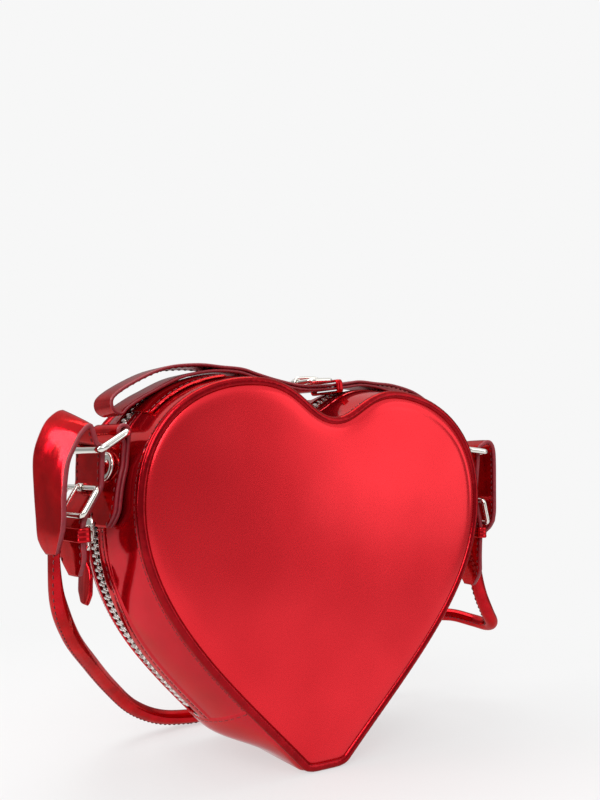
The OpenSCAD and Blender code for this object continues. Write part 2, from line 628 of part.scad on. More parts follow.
// Keeper loop round the leg, below its buckle
keeper_t = 1.6;
keeper_l = 6;
function keeper_h(left) = buckle_h(left) - buckle_l - buckle_wire_r - keeper_l * 0.55;
module keeper_loop(w, t, l) linear_extrude(l, center = true) difference() {
    square([t + 2 * seat + 2 * keeper_t, w + 2 * seat + 2 * keeper_t], center = true);
    square([t + 2 * seat, w + 2 * seat], center = true);
}
module belt_keeper(left) color(red) on_leg(left, keeper_h(left), slope_step, -belt_t / 2)
    keeper_loop(tab_w, belt_t, keeper_l);
module belt_keeper_left() belt_keeper(true);
module belt_keeper_right() belt_keeper(false);

// The rolled strap

// Places at the side in the frame, and where a belt ends
function side_place(left, x, y, z) = let(d = x - yaw_x)
    [(left ? -1 : 1) * (yaw_x + d * cos(side_yaw) + y * sin(side_yaw)), tab_y - d * sin(side_yaw) + y * cos(side_yaw), z];
function belt_end(left) = let(path = outer_belt(left), e = path[len(path) - 1])
    side_place(left, e[0], end_back, e[1] - over - seat);
strap_reach = body_w / 2;
strap_back = body_d;
// Route of the roll behind the bag, as shares of half the width, the depth and the height
left_share = [[-1.245, -0.2, 0.47], [-1.13, 0.02, 0.365], [-0.97, 0.29, 0.272], [-0.8, 0.54, 0.18],
    [-0.63, 0.71, 0.098], [-0.44, 0.82, 0.044], [-0.24, 0.87, 0.0235]];
middle_share = [[-0.04, 0.88, 0.0225], [0.18, 0.89, 0.024], [0.4, 0.88, 0.04], [0.62, 0.84, 0.08]];
right_share = [[0.86, 0.76, 0.16], [1.08, 0.64, 0.235], [1.26, 0.5, 0.28], [1.385, 0.33, 0.292], [1.44, 0.12, 0.283],
    [1.44, -0.04, 0.28], [1.4, -0.15, 0.296], [1.325, -0.2, 0.335], [1.25, -0.22, 0.395], [1.205, -0.225, 0.458],
    [1.19, -0.225, 0.51]];
function route(list) = [for (p = list) [p[0] * strap_reach, p[1] * strap_back, p[2] * body_h]];
roll_steps = 4;
roll_ctrl = concat([belt_end(true)], route(left_share), route(middle_share), route(right_share), [belt_end(false)]);
roll_path = spline(roll_ctrl, roll_steps);
// The parts of the roll share their end faces
left_last = roll_steps * len(left_share);
right_first = left_last + roll_steps * len(middle_share);
roll_last = len(roll_path) - 1;
roll_dirs = [for (i = [0:roll_last])
    unit(roll_path[min(i + 1, roll_last)] - roll_path[max(i - 1, 0)])];
function square_to(v, d) = unit(v - (v * d) * d);
// Directions across the roll, each turned on from the one before, from both of its ends
function carried(dirs, i, first) = i == 0 ? [square_to(first, dirs[0])] :
    let(before = carried(dirs, i - 1, first)) concat(before, [square_to(before[i - 1], dirs[i])]);
across_left = carried(roll_dirs, roll_last, [-sin(side_yaw), cos(side_yaw), 0]);
across_right = flip(carried(flip(roll_dirs), roll_last, [sin(side_yaw), cos(side_yaw), 0]));
// The roll flares to a flat end, sewn to the belt
flare_points = 6;
roll_sides = 10;
function flare_at(i) = smooth(1 - min(i, roll_last - i) / flare_points);
module roll(first, last, across_list) {
    m = roll_sides;
    points = [for (i = [first:last]) let(f = flare_at(i), wide = mix(roll_r, roll_r * 1.25, f),
        thin = mix(roll_r, belt_t * 0.6, f), u = across_list[i - roll_last + len(across_list) - 1], v = cross(roll_dirs[i], u))
        for (j = [0:m - 1]) roll_path[i] + u * wide * cos(360 * j / m) + v * thin * sin(360 * j / m)];
    n = last - first;
    faces = concat(
        [for (i = [0:n - 1], j = [0:m - 1]) [i * m + j, i * m + (j + 1) % m, (i + 1) * m + (j + 1) % m]],
        [for (i = [0:n - 1], j = [0:m - 1]) [i * m + j, (i + 1) * m + (j + 1) % m, (i + 1) * m + j]],
        [[for (j = [m - 1:-1:0]) j]],
        [[for (j = [0:m - 1]) n * m + j]]);
    polyhedron(points, [for (f = faces) flip(f)]);
}
module strap_roll_left() color(red) roll(0, left_last, across_left);
module strap_roll_middle() color(red) roll(left_last, right_first, across_left);
module strap_roll_right() color(red) roll(right_first, roll_last, across_right);

// The top handle: a belt laid double over the lobes, with a fold at each end

fold_r = 3.4;
handle_dip = 5.5;
fold_x = handle_l / 2 - fold_r - handle_t;
layer_step = handle_t + seat;
// The lower layer follows each lobe between two of its points
hug_from = side_steps + floor(lobe_steps * 0.6);
hug_to = side_steps + lobe_steps + 2;
function hugged(i, lift) = wall_half[i]
    + normal_at(wall_half, i, false) * (wall_off(wall_half[i][1], 0) + handle_gap + handle_t / 2 + lift);
lobe_top_h = body_h + bulge_top + handle_gap + handle_t / 2;
// Way to the fold beyond what follows the lobes: shares out and down to the fold
lower_share = [[0.9, 0.78]];
upper_share = [[0.62, 0.02], [0.78, 0.16], [0.92, 0.48]];
handle_drop = lobe_top_h - fold_h;
function beyond(shares, lift) = [for (p = shares) [p[0] * fold_x, lobe_top_h + lift - p[1] * handle_drop]];
function middle(lift) = [[0, lobe_top_h + lift - handle_dip],
    [lobe_x * 0.38, lobe_top_h + lift - handle_dip * 0.72]];
handle_steps = 3;
lower_layer = concat(middle(0), [for (i = [hug_to:-1:hug_from]) hugged(i, 0)], beyond(lower_share, 0));
upper_layer = concat(middle(layer_step), [for (i = [hug_to:-1:hug_to - 3]) hugged(i, layer_step)],
    beyond(upper_share, layer_step));
fold_half = [[fold_x + fold_r, fold_h + fold_r * 1.3], [fold_x + fold_r * 1.2, fold_h - fold_r * 0.3],
    [fold_x, fold_h - fold_r], [fold_x - fold_r * 0.9, fold_h - fold_r * 0.1]];
handle_loop = concat(upper_layer, fold_half, flip(lower_layer));
handle_right = spline(handle_loop, handle_steps);
handle_path = concat(handle_right, [for (p = flip(handle_right)) if (p[0] > 0) [-p[0], p[1]]]);
handle_normals = [for (i = [0:len(handle_path) - 1]) normal_at(handle_path, i, true)];
// Upper layer over the middle, for what is mounted there
upper_line = [for (i = [0:handle_steps * 4]) handle_right[i]];
function upper_at(x) = let(u = abs(x), i = [for (k = [0:len(upper_line) - 2])
        if (upper_line[k][0] <= u && upper_line[k + 1][0] > u) k][0])
    mix(upper_line[i], upper_line[i + 1], (u - upper_line[i][0]) / (upper_line[i + 1][0] - upper_line[i][0]))[1];
handle_buckle_x = handle_w * 0.1;
handle_keeper_x = handle_w * 1.02;
handle_slope = atan((upper_at(handle_buckle_x + buckle_l) - upper_at(handle_buckle_x)) / buckle_l);
// Places on the handle: the middle of the buckle's first bar, with z along the way to its second
module on_handle(lift) translate([handle_buckle_x, 0, upper_at(handle_buckle_x) + handle_t / 2])
    rotate([0, -handle_slope, 0]) translate([0, 0, lift]) children();
module top_handle() color(dark_red) difference() {
    across(handle_w) difference() {
        polygon(handle_path - handle_normals * handle_t / 2);
        polygon(handle_path + handle_normals * handle_t / 2);
    }
    on_handle(-handle_t / 2) cube([slot_l, slot_w, 2 * handle_t], center = true);
}
module handle_buckle() color(steel) on_handle(buckle_lift + seat)
    wire_frame(buckle_l, buckle_half_w, buckle_wire_r, buckle_wire_r * 1.6);
module handle_prong() color(steel) on_handle(buckle_lift + seat) rotate([0, -90, 0]) prong();
handle_keeper_l = 4;
handle_keeper_lean = atan((upper_at(handle_keeper_x + handle_keeper_l / 2)
    - upper_at(handle_keeper_x - handle_keeper_l / 2)) / handle_keeper_l);
module handle_keeper() color(red)
    translate([handle_keeper_x, 0, upper_at(handle_keeper_x) - (handle_t + seat) / 2])
        rotate([0, 90 - handle_keeper_lean, 0]) keeper_loop(handle_w, 2 * handle_t + seat * 2, handle_keeper_l);

// Leather strips on the front gusset, up from each side tab to under the handle, which is sewn to them
base_t = 1.4;
base_from_h = ring_h + bar_gap * 4;
base_to_x = lobe_x * 1.25;
strip_ys = [for (i = [0:2]) tab_y + mix(-tab_w * 0.36, tab_w * 0.5, i / 2)];
strip_path = [for (p = wall_half) if (p[1] > base_from_h && p[0] > base_to_x) p];
module handle_base() color(red) wall_layer(strip_path, strip_ys, seat + base_t, base_t);
module handle_base_left() mirror([1, 0, 0]) handle_base();
module handle_base_right() handle_base();

front_panel();
front_piping();
front_gusset();
front_board();
front_lining();
base_gusset();
zip_tape_front();
zip_teeth_front();
zip_end_stops();
back_panel();
back_piping();
back_gusset();
back_board();
back_lining();
slip_pocket();
zip_tape_back();
zip_teeth_back();
zip_slider();
zip_pull_link();
zip_pull_leather();
side_tab_left();
side_tab_right();
tab_stud_left();
tab_stud_right();
ring_left();
ring_right();
strap_belt_left();
strap_belt_right();
belt_buckle_left();
belt_buckle_right();
belt_prong_left();
belt_prong_right();
belt_keeper_left();
belt_keeper_right();
strap_roll_left();
strap_roll_middle();
strap_roll_right();
top_handle();
handle_base_left();
handle_base_right();
handle_buckle();
handle_prong();
handle_keeper();
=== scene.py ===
"""Looks of a small heart-shaped handbag in mirror-gloss red leather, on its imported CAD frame.

Lengths are in millimetres in the drawing functions and become metres when a mesh is made.
"""

import logging
import math
from dataclasses import dataclass, field
from enum import Enum
from typing import Any, Callable, Optional, Sequence

import bpy
import numpy as np
from mathutils import Matrix, Vector

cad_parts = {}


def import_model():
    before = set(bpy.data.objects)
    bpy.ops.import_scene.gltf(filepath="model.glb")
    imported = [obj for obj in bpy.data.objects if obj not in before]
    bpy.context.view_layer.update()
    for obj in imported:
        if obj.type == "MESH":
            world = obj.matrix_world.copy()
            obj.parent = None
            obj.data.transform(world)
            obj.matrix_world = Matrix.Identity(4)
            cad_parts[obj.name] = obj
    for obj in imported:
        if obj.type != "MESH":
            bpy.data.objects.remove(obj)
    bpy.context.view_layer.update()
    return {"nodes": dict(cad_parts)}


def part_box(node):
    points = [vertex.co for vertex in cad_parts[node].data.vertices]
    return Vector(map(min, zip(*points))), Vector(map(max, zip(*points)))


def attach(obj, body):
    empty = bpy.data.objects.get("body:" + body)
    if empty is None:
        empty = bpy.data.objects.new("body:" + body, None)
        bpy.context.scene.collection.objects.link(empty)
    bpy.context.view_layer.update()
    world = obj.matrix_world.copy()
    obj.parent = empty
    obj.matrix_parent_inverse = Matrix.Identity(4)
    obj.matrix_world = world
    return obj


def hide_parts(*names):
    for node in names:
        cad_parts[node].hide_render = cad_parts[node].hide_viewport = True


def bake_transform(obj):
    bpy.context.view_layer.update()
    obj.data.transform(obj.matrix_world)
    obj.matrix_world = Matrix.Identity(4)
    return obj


LOG = logging.getLogger("heart_bag")
MM = 0.001
Array = np.ndarray


class Side(Enum):
    """The two ends of the shoulder strap, by the sign of their X."""

    LEFT = -1.0
    RIGHT = 1.0


class Half(Enum):
    """The two halves of the body that the zip joins, by the sign of their Y."""

    FRONT = -1.0
    BACK = 1.0


# Materials


def linear(code: str) -> tuple[float, float, float, float]:
    """Turns an sRGB hex code into linear colour.

    Args:
        code: Six hex digits, such as "C8202B".

    Returns:
        Linear red, green, blue and an alpha of 1.
    """
    parts = [int(code[i : i + 2], 16) / 255 for i in (0, 2, 4)]
    lin = [p / 12.92 if p <= 0.04045 else ((p + 0.055) / 1.055) ** 2.4 for p in parts]
    return (lin[0], lin[1], lin[2], 1.0)


def add(tree: bpy.types.NodeTree, kind: str, settings: Optional[dict] = None, **links: Any) -> bpy.types.Node:
    """Adds a shader node with its settings and links.

    Args:
        tree: Node tree of the material or world.
        kind: Blender's name of the node type.
        settings: Properties, and socket values by socket name or number.
        **links: Sockets by name, with "_" for a space, and what feeds each.

    Returns:
        The new node.
    """
    node = tree.nodes.new(kind)
    for key, value in (settings or {}).items():
        if isinstance(key, int) or key in node.inputs:
            node.inputs[key].default_value = value
        else:
            setattr(node, key, value)
    for key, source in links.items():
        name = int(key[1:]) if key[0] == "i" and key[1:].isdigit() else key.replace("_", " ")
        tree.links.new(source, node.inputs[name])
    return node


def blank(name: str) -> tuple[bpy.types.Material, bpy.types.NodeTree]:
    """Makes an empty node material.

    Args:
        name: Name of the material.

    Returns:
        The material and its tree.
    """
    material = bpy.data.materials.new(name)
    material.use_nodes = True
    material.node_tree.nodes.clear()
    return material, material.node_tree


def ramp(tree: bpy.types.NodeTree, source: Any, stops: Sequence[tuple[float, tuple]]) -> bpy.types.Node:
    """Adds a colour ramp.

    Args:
        tree: Node tree.
        source: Socket that drives it.
        stops: Places and colours.

    Returns:
        The ramp node.
    """
    node = add(tree, "ShaderNodeValToRGB", None, Fac=source)
    elements = node.color_ramp.elements
    while len(elements) < len(stops):
        elements.new(0.5)
    for element, (place, colour) in zip(elements, stops):
        element.position = place
        element.color = colour
    return node


@dataclass(frozen=True)
class MirrorLeather:
    """Split leather with a laminated metallic foil: a red metal look under a clear coat, with soft ripples.

    The foil gives broad reflections tinted red, and the coat a second, sharper and untinted one.

    Attributes:
        name: Name of the material.
        shaded_trough: Colour in the ripples' troughs, darker there as painted shade.
        bright: Colour on their crests, lighter there as painted highlight.
        roughness: Roughness of the foil.
        coat: Weight of the clear coat.
        ripple_mm: Spacing of the ripples.
        ripple: Strength of the ripples.
        rim: Tint of the foil's reflections at a low angle.
        coat_haze: Roughness of the coat.
        metallic: Share of metal look.
        grain_mm: Spacing of the fine grain.
        grain: Strength of the grain.
    """

    name: str
    shaded_trough: str
    bright: str
    roughness: float
    coat: float
    ripple_mm: float
    ripple: float
    rim: str = "C03A44"
    coat_haze: float = 0.06
    metallic: float = 0.86
    grain_mm: float = 0.7
    grain: float = 0.02

    def make(self) -> bpy.types.Material:
        """Builds the material.

        Returns:
            The new material.
        """
        material, tree = blank(self.name)
        place = add(tree, "ShaderNodeTexCoord").outputs["Object"]
        soft = add(
            tree, "ShaderNodeTexNoise",
            {"Scale": 1 / (self.ripple_mm * MM), "Detail": 2.0, "Roughness": 0.45}, Vector=place
        )
        fine = add(
            tree, "ShaderNodeTexNoise", {"Scale": 1 / (self.grain_mm * MM), "Detail": 3.0, "Roughness": 0.6},
            Vector=place
        )
        # Colour follows the ripples' height: darker in the troughs as painted shade, lighter on the crests as
        # painted highlight.
        colour = ramp(tree, soft.outputs["Fac"], [(0.3, linear(self.shaded_trough)), (0.75, linear(self.bright))])
        rough = add(
            tree, "ShaderNodeMapRange",
            {
                "From Min": 0.3,
                "From Max": 0.7,
                "To Min": self.roughness * 0.94,
                "To Max": self.roughness * 1.07
            },
            Value=fine.outputs["Fac"]
        )
        waves = add(
            tree, "ShaderNodeBump", {"Strength": self.ripple, "Distance": self.ripple_mm * MM * 0.1},
            Height=soft.outputs["Fac"]
        )
        bump = add(
            tree, "ShaderNodeBump", {"Strength": self.grain, "Distance": self.grain_mm * MM * 0.3},
            Height=fine.outputs["Fac"], Normal=waves.outputs["Normal"]
        )
        shader = add(
            tree, "ShaderNodeBsdfPrincipled",
            {
                "Metallic": self.metallic, "Specular Tint": linear(self.rim), "Coat Weight": self.coat,
                "Coat Roughness": self.coat_haze, "Coat IOR": 1.5,
            },
            Base_Color=colour.outputs["Color"], Roughness=rough.outputs["Result"],
            Normal=bump.outputs["Normal"]
        )
        add(tree, "ShaderNodeOutputMaterial", None, Surface=shader.outputs["BSDF"])
        return material


@dataclass(frozen=True)
class PlatedMetal:
    """Zinc casting with polished nickel plating: a bright, slightly warm mirror with faint hazing."""

    name: str
    colour: str
    roughness: float
    haze_mm: float = 2.0

    def make(self) -> bpy.types.Material:
        """Builds the material.

        Returns:
            The new material.
        """
        material, tree = blank(self.name)
        place = add(tree, "ShaderNodeTexCoord").outputs["Object"]
        haze = add(
            tree, "ShaderNodeTexNoise", {"Scale": 1 / (self.haze_mm * MM), "Detail": 4.0, "Roughness": 0.65},
            Vector=place
        )
        rough = add(
            tree, "ShaderNodeMapRange",
            {"From Min": 0.35, "From Max": 0.7, "To Min": self.roughness, "To Max": self.roughness * 2.2},
            Value=haze.outputs["Fac"]
        )
        bump = add(tree, "ShaderNodeBump", {"Strength": 0.04, "Distance": 0.0001}, Height=haze.outputs["Fac"])
        shader = add(tree, "ShaderNodeBsdfPrincipled", {"Base Color": linear(self.colour), "Metallic": 1.0},
                     Roughness=rough.outputs["Result"], Normal=bump.outputs["Normal"])
        add(tree, "ShaderNodeOutputMaterial", None, Surface=shader.outputs["BSDF"])
        return material


@dataclass(frozen=True)
class Woven:
    """Plain-woven polyester: two crossing sets of threads with a little sheen, a pitch apart."""

    name: str
    warp: str
    weft: str
    pitch_mm: float
    roughness: float = 0.75
    sheen: float = 0.3

    def make(self) -> bpy.types.Material:
        """Builds the material.

        Returns:
            The new material.
        """
        material, tree = blank(self.name)
        place = add(tree, "ShaderNodeTexCoord").outputs["Object"]
        waves = [
            add(
                tree, "ShaderNodeTexWave",
                {
                    "wave_type": "BANDS",
                    "bands_direction": way,
                    "Scale": 0.314 / (self.pitch_mm * MM),
                    "Distortion": 0.6,
                    "Detail": 1.0
                },
                Vector=place
            ) for way in ("DIAGONAL", "Z")
        ]
        mixed = add(
            tree, "ShaderNodeMath", {"operation": "MULTIPLY"}, i0=waves[0].outputs["Fac"],
            i1=waves[1].outputs["Fac"]
        )
        colour = ramp(tree, mixed.outputs["Value"], [(0.1, linear(self.weft)), (0.8, linear(self.warp))])
        bump = add(
            tree, "ShaderNodeBump", {"Strength": 0.5, "Distance": self.pitch_mm * MM * 0.25},
            Height=mixed.outputs["Value"]
        )
        shader = add(
            tree, "ShaderNodeBsdfPrincipled", {"Roughness": self.roughness, "Sheen Weight": self.sheen},
            Base_Color=colour.outputs["Color"], Normal=bump.outputs["Normal"]
        )
        add(tree, "ShaderNodeOutputMaterial", None, Surface=shader.outputs["BSDF"])
        return material


@dataclass(frozen=True)
class Coated:
    """A plain coated or spun surface with a fine mottle: edge paint, sewing thread or pressed board."""

    name: str
    colour: str
    shade: str
    roughness: float
    mottle_mm: float
    bump: float = 0.1

    def make(self) -> bpy.types.Material:
        """Builds the material.

        Returns:
            The new material.
        """
        material, tree = blank(self.name)
        place = add(tree, "ShaderNodeTexCoord").outputs["Object"]
        mottle = add(
            tree, "ShaderNodeTexNoise", {"Scale": 1 / (self.mottle_mm * MM), "Detail": 3.0}, Vector=place
        )
        colour = ramp(tree, mottle.outputs["Fac"], [(0.3, linear(self.shade)), (0.7, linear(self.colour))])
        bump = add(
            tree, "ShaderNodeBump", {"Strength": self.bump, "Distance": self.mottle_mm * MM * 0.2},
            Height=mottle.outputs["Fac"]
        )
        shader = add(tree, "ShaderNodeBsdfPrincipled", {"Roughness": self.roughness},
                     Base_Color=colour.outputs["Color"], Normal=bump.outputs["Normal"])
        add(tree, "ShaderNodeOutputMaterial", None, Surface=shader.outputs["BSDF"])
        return material


# In the foil leathers the first colour is painted shade in the ripples' troughs and the second painted
# highlight on their crests.
FINISHES: dict[str, Any] = {
    "face": MirrorLeather(
        "foil_leather_face", shaded_trough="D61A26", bright="E6242F", roughness=0.27, coat=0.25, ripple_mm=42.0,
        ripple=0.05, rim="E8A8AC", coat_haze=0.2, grain=0.0,
    ),
    "gusset": MirrorLeather(
        "foil_leather_gusset", shaded_trough="B80E1C", bright="D01626", roughness=0.16, coat=0.45, ripple_mm=22.0,
        ripple=0.22, rim="D8888C", grain=0.008,
    ),
    "strap": MirrorLeather(
        "foil_leather_strap", shaded_trough="A80612", bright="CC0E1C", roughness=0.13, coat=0.18, ripple_mm=9.0,
        ripple=0.3, rim="D0606A", grain=0.01,
    ),
    "piping": MirrorLeather(
        "foil_leather_piping", shaded_trough="8A0611", bright="A20A17", roughness=0.22, coat=0.12, ripple_mm=6.0,
        ripple=0.3, grain=0.01,
    ),
    "edge": Coated("edge_paint", "8C1A26", "741320", 0.45, 1.5),
    "thread": Coated("polyester_thread", "6E0C17", "4C0810", 0.5, 0.5, 0.4),
    "metal": PlatedMetal("nickel_plating", "E4E1DA", 0.07),
    "tooth": PlatedMetal("nickel_plated_teeth", "DEDBD6", 0.16),
    "tape": Woven("woven_zip_tape", "8E1420", "5E0B15", 0.6),
    "lining": Woven("woven_lining", "7A1420", "560C16", 0.45, 0.8),
    "board": Coated("pressed_fibre_board", "A08C72", "8A765E", 0.85, 1.2),
}


class Paints:
    """The finished materials, each made once."""

    def __init__(self) -> None:
        """Starts with no material made."""
        self.made: dict[str, bpy.types.Material] = {}

    def __call__(self, name: str) -> bpy.types.Material:
        """Gives the material of a finish, made at its first use.

        Args:
            name: Name of the finish.

        Returns:
            Its material.
        """
        if name not in self.made:
            self.made[name] = FINISHES[name].make()
        return self.made[name]


# Mesh tools


@dataclass
class Workshop:
    """Turns arrays into pieces that ride on their bodies.

    Attributes:
        paints: The materials.
        count: Pieces made so far.
    """

    paints: Paints = field(default_factory=Paints)
    count: int = 0

    def piece(
        self, name: str, verts: Array, faces: Array, paint: str | Sequence[str], body: str, slot: str,
        stands_for: Sequence[str] = (), paint_index: Optional[Array] = None, blend: Optional[tuple] = None
    ) -> bpy.types.Object:
        """Makes one piece.

        Args:
            name: Name of the object.
            verts: Points in millimetres, one per row.
            faces: Corner numbers, one face per row.
            paint: Finish, or several in the order of the paint index.
            body: CAD body that it rides on.
            slot: Name of a material slot; not used.
            stands_for: CAD nodes that it replaces.
            paint_index: Number of the finish of each face.
            blend: Second body, start and end in millimetres, for a piece between two; when it is given, the
                piece stays in place on no body.

        Returns:
            The new object.
        """
        mesh = bpy.data.meshes.new(name)
        mesh.from_pydata(
            (verts * MM).tolist(), [], faces.tolist() if isinstance(faces, np.ndarray) else faces
        )
        for each in [paint] if isinstance(paint, str) else paint:
            mesh.materials.append(self.paints(each))
        mesh.polygons.foreach_set("use_smooth", np.ones(len(mesh.polygons), bool))
        if paint_index is not None:
            mesh.polygons.foreach_set("material_index", paint_index.astype(np.int32))
        mesh.validate()
        mesh.update()
        obj = bpy.data.objects.new(name, mesh)
        bpy.context.scene.collection.objects.link(obj)
        if blend:
            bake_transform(obj)
        else:
            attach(obj, body)
        if stands_for:
            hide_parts(*stands_for)
        self.count += 1
        LOG.info("%s: %d faces on %s", name, len(mesh.polygons), body)
        return obj


def grid_faces(rows: int, columns: int, close_rows: bool = False, close_columns: bool = False) -> Array:
    """Faces of a grid of points, row after row.

    Args:
        rows: Number of rows.
        columns: Points in a row.
        close_rows: Whether the last row joins the first.
        close_columns: Whether the last point of a row joins its first.

    Returns:
        Four corner numbers for each face.
    """
    i, j = np.meshgrid(
        np.arange(rows if close_rows else rows - 1), np.arange(columns if close_columns else columns - 1),
        indexing="ij"
    )
    i2, j2 = (i + 1) % rows, (j + 1) % columns
    corners_of = [i * columns + j, i * columns + j2, i2 * columns + j2, i2 * columns + j]
    return np.stack(corners_of, -1).reshape(-1, 4)


def tube_faces(rings: int, around: int, closed: bool = False) -> list[list[int]]:
    """Faces of a tube of rings, with a cap at each end unless it is closed on itself.

    Args:
        rings: Number of rings.
        around: Points in a ring.
        closed: Whether the last ring joins the first.

    Returns:
        Corner numbers, one face per row.
    """
    faces = grid_faces(rings, around, closed, True).tolist()
    if not closed:
        faces.append(list(range(around - 1, -1, -1)))
        faces.append(list(range((rings - 1) * around, rings * around)))
    return faces


def outward(verts: Array, faces: Sequence[Sequence[int]]) -> list[list[int]]:
    """Turns all faces round if the closed mesh that they make is inside out.

    Args:
        verts: Points of the mesh.
        faces: Its faces.

    Returns:
        The faces, all outward.
    """
    volume = 0.0
    for face in faces:
        a = verts[face[0]]
        for k in range(1, len(face) - 1):
            volume += float(np.dot(a, np.cross(verts[face[k]], verts[face[k + 1]])))
    return [list(f) for f in faces] if volume > 0 else [list(f)[::-1] for f in faces]


def unit(v: Array) -> Array:
    """Unit vectors along the last axis."""
    return v / np.maximum(np.linalg.norm(v, axis=-1, keepdims=True), 1e-9)


def smooth(t: Array | float) -> Any:
    """Smooth step from 0 to 1."""
    c = np.clip(t, 0.0, 1.0)
    return c * c * (3 - 2 * c)


def curve(p: Sequence[Sequence[float]], n: int) -> Array:
    """Points of a cubic curve, evenly in its parameter and without the last.

    Args:
        p: Four control points.
        n: Number of steps.

    Returns:
        The first n of its n + 1 points.
    """
    t = np.linspace(0, 1, n, endpoint=False)[:, None]
    q = np.array(p, float)
    return (1 - t) ** 3 * q[0] + 3 * (1 - t) ** 2 * t * q[1] + 3 * (1 - t) * t**2 * q[2] + t**3 * q[3]


def resample(path: Array, step: float, closed: bool = False) -> Array:
    """Places points at even distances along a path.

    Args:
        path: Points of the path.
        step: Distance between the new points, made to fit a whole number of times.
        closed: Whether the path goes back to its start.

    Returns:
        The new points.
    """
    p = np.vstack([path, path[:1]]) if closed else path
    run = np.concatenate([[0], np.cumsum(np.linalg.norm(np.diff(p, axis=0), axis=1))])
    count = max(2, int(round(run[-1] / step)))
    s = np.linspace(0, run[-1], count + 1)
    out = np.stack([np.interp(s, run, p[:, k]) for k in range(p.shape[1])], -1)
    return out[:-1] if closed else out


def rows_at(s: Array, run: Array, rows: Array) -> Array:
    """Rows of a table at the distances s, where run holds the distance of each of its rows."""
    return np.stack([np.interp(s, run, rows[:, k]) for k in range(3)], -1)


def spline(points: Sequence[Sequence[float]], n: int, closed: bool = False) -> Array:
    """Smooth curve through points: cubics, with half the step between its neighbours as a point's slope.

    Args:
        points: Points that it passes.
        n: Steps between each two.
        closed: Whether it goes back to its start.

    Returns:
        Points along the curve.
    """
    p = np.array(points, float)
    count = len(p) if closed else len(p) - 1
    t = np.linspace(0, 1, n, endpoint=False)[:, None]
    parts = []
    for i in range(count):
        a, b, c, d = (
            p[(i + k) % len(p)] if closed else p[min(max(i + k, 0), len(p) - 1)] for k in (-1, 0, 1, 2)
        )
        parts.append(
            (2 * b + (c - a) * t + (2 * a - 5 * b + 4 * c - d) * t**2 + (3 * b - a - 3 * c + d) * t**3) / 2
        )
    if not closed:
        parts.append(p[-1:])
    return np.vstack(parts)


def tangents(path: Array, closed: bool = False) -> Array:
    """Unit tangents of a path, by central differences.

    Args:
        path: Points of the path.
        closed: Whether it goes back to its start.

    Returns:
        One for each point.
    """
    if closed:
        return unit(np.roll(path, -1, 0) - np.roll(path, 1, 0))
    return unit(np.gradient(path, axis=0))


def carried_frames(path: Array, first: Sequence[float], closed: bool = False) -> tuple[Array, Array]:
    """Directions across a path, carried along it without twist.

    Args:
        path: Points in space.
        first: Direction across it at its start.
        closed: Whether the path goes back to its start.

    Returns:
        Two unit directions across the path at each point.
    """
    along = tangents(path, closed)
    u = np.empty_like(path)
    now = np.array(first, float)
    for i, d in enumerate(along):
        now = unit(now - d * np.dot(now, d))
        u[i] = now
    return u, np.cross(along, u)


def sweep(
    path: Array, u: Array, v: Array, section: Array, widths: Optional[Array] = None,
    heights: Optional[Array] = None
) -> Array:
    """Carries a closed section along a path: a point is the path's, plus u and v by the section's numbers.

    Args:
        path: Points of the path.
        u: First direction across it.
        v: Second direction across it.
        section: Points of the section.
        widths: Factor of the section's first number at each point of the path.
        heights: Factor of its second number.

    Returns:
        The points, ring after ring.
    """
    w = np.ones(len(path)) if widths is None else widths
    h = np.ones(len(path)) if heights is None else heights
    first = section[None, :, 0:1] * w[:, None, None]
    second = section[None, :, 1:2] * h[:, None, None]
    ring = path[:, None, :] + u[:, None, :] * first + v[:, None, :] * second
    return ring.reshape(-1, 3)


def rounded_rectangle(x: tuple[float, float], y: tuple[float, float], radius: float, n: int) -> Array:
    """Points of a rectangle whose corners are quarter circles.

    Args:
        x: Lowest and highest first number of the corners' centres.
        y: Lowest and highest second number of them.
        radius: Radius of the corners.
        n: Points on each corner.

    Returns:
        The points, in their order round it.
    """
    centres = ((x[1], y[1], 0), (x[0], y[1], 90), (x[0], y[0], 180), (x[1], y[0], 270))
    points = []
    for cx, cy, start in centres:
        for a in np.radians(np.linspace(start, start + 90, n)):
            points.append((cx + radius * math.cos(a), cy + radius * math.sin(a)))
    return np.array(points)


def circle(radius: float, n: int) -> Array:
    """Points of a circle."""
    a = np.linspace(0, 2 * math.pi, n, endpoint=False)
    return np.stack([np.cos(a), np.sin(a)], -1) * radius


# Distance between two stitches, and of a row of them from the leather's edge.
STITCH_PITCH = 3.1
STITCH_IN = 2.2


def flat_section(
    width: float, thick: float, groove: float = 0.12, stitch_in: float = STITCH_IN, across: int = 12
) -> Array:
    """Section of a sewn leather strip: two faces that sink a little at their stitch lines, and rounded edges.

    Args:
        width: Width of the strip.
        thick: Its thickness.
        groove: Depth of each face at the stitch lines.
        stitch_in: Distance of a stitch line from the edge.
        across: Points on each face.

    Returns:
        Closed section; its first number runs across the strip.
    """
    r = thick / 2
    x = np.linspace(-(width / 2 - r), width / 2 - r, across)
    line = width / 2 - stitch_in
    dip = groove * (np.exp(-(((x - line) / 0.8) ** 2)) + np.exp(-(((x + line) / 0.8) ** 2)))
    top = np.stack([x, r - dip], -1)
    arc = np.linspace(math.pi / 2, -math.pi / 2, 7)[1:-1]
    right = np.stack([width / 2 - r + r * np.cos(arc), r * np.sin(arc)], -1)
    return np.vstack([top, right, top[::-1] * [1, -1], right[::-1] * [-1, 1]])


def revolve(profile: Sequence[Sequence[float]], n: int = 40) -> tuple[Array, list[list[int]]]:
    """Solid of revolution about the first axis: each profile point (x, r) goes round a circle of radius r.

    Args:
        profile: Points (x, r) from one pole to the other.
        n: Points round.

    Returns:
        Points and faces.
    """
    p = np.array(profile, float)
    a = np.linspace(0, 2 * math.pi, n, endpoint=False)
    ring = np.stack(
        [np.broadcast_to(p[:, 0:1], (len(p), n)), p[:, 1:2] * np.cos(a), p[:, 1:2] * np.sin(a)], -1
    )
    verts = ring.reshape(-1, 3)
    return verts, outward(verts, tube_faces(len(p), n))


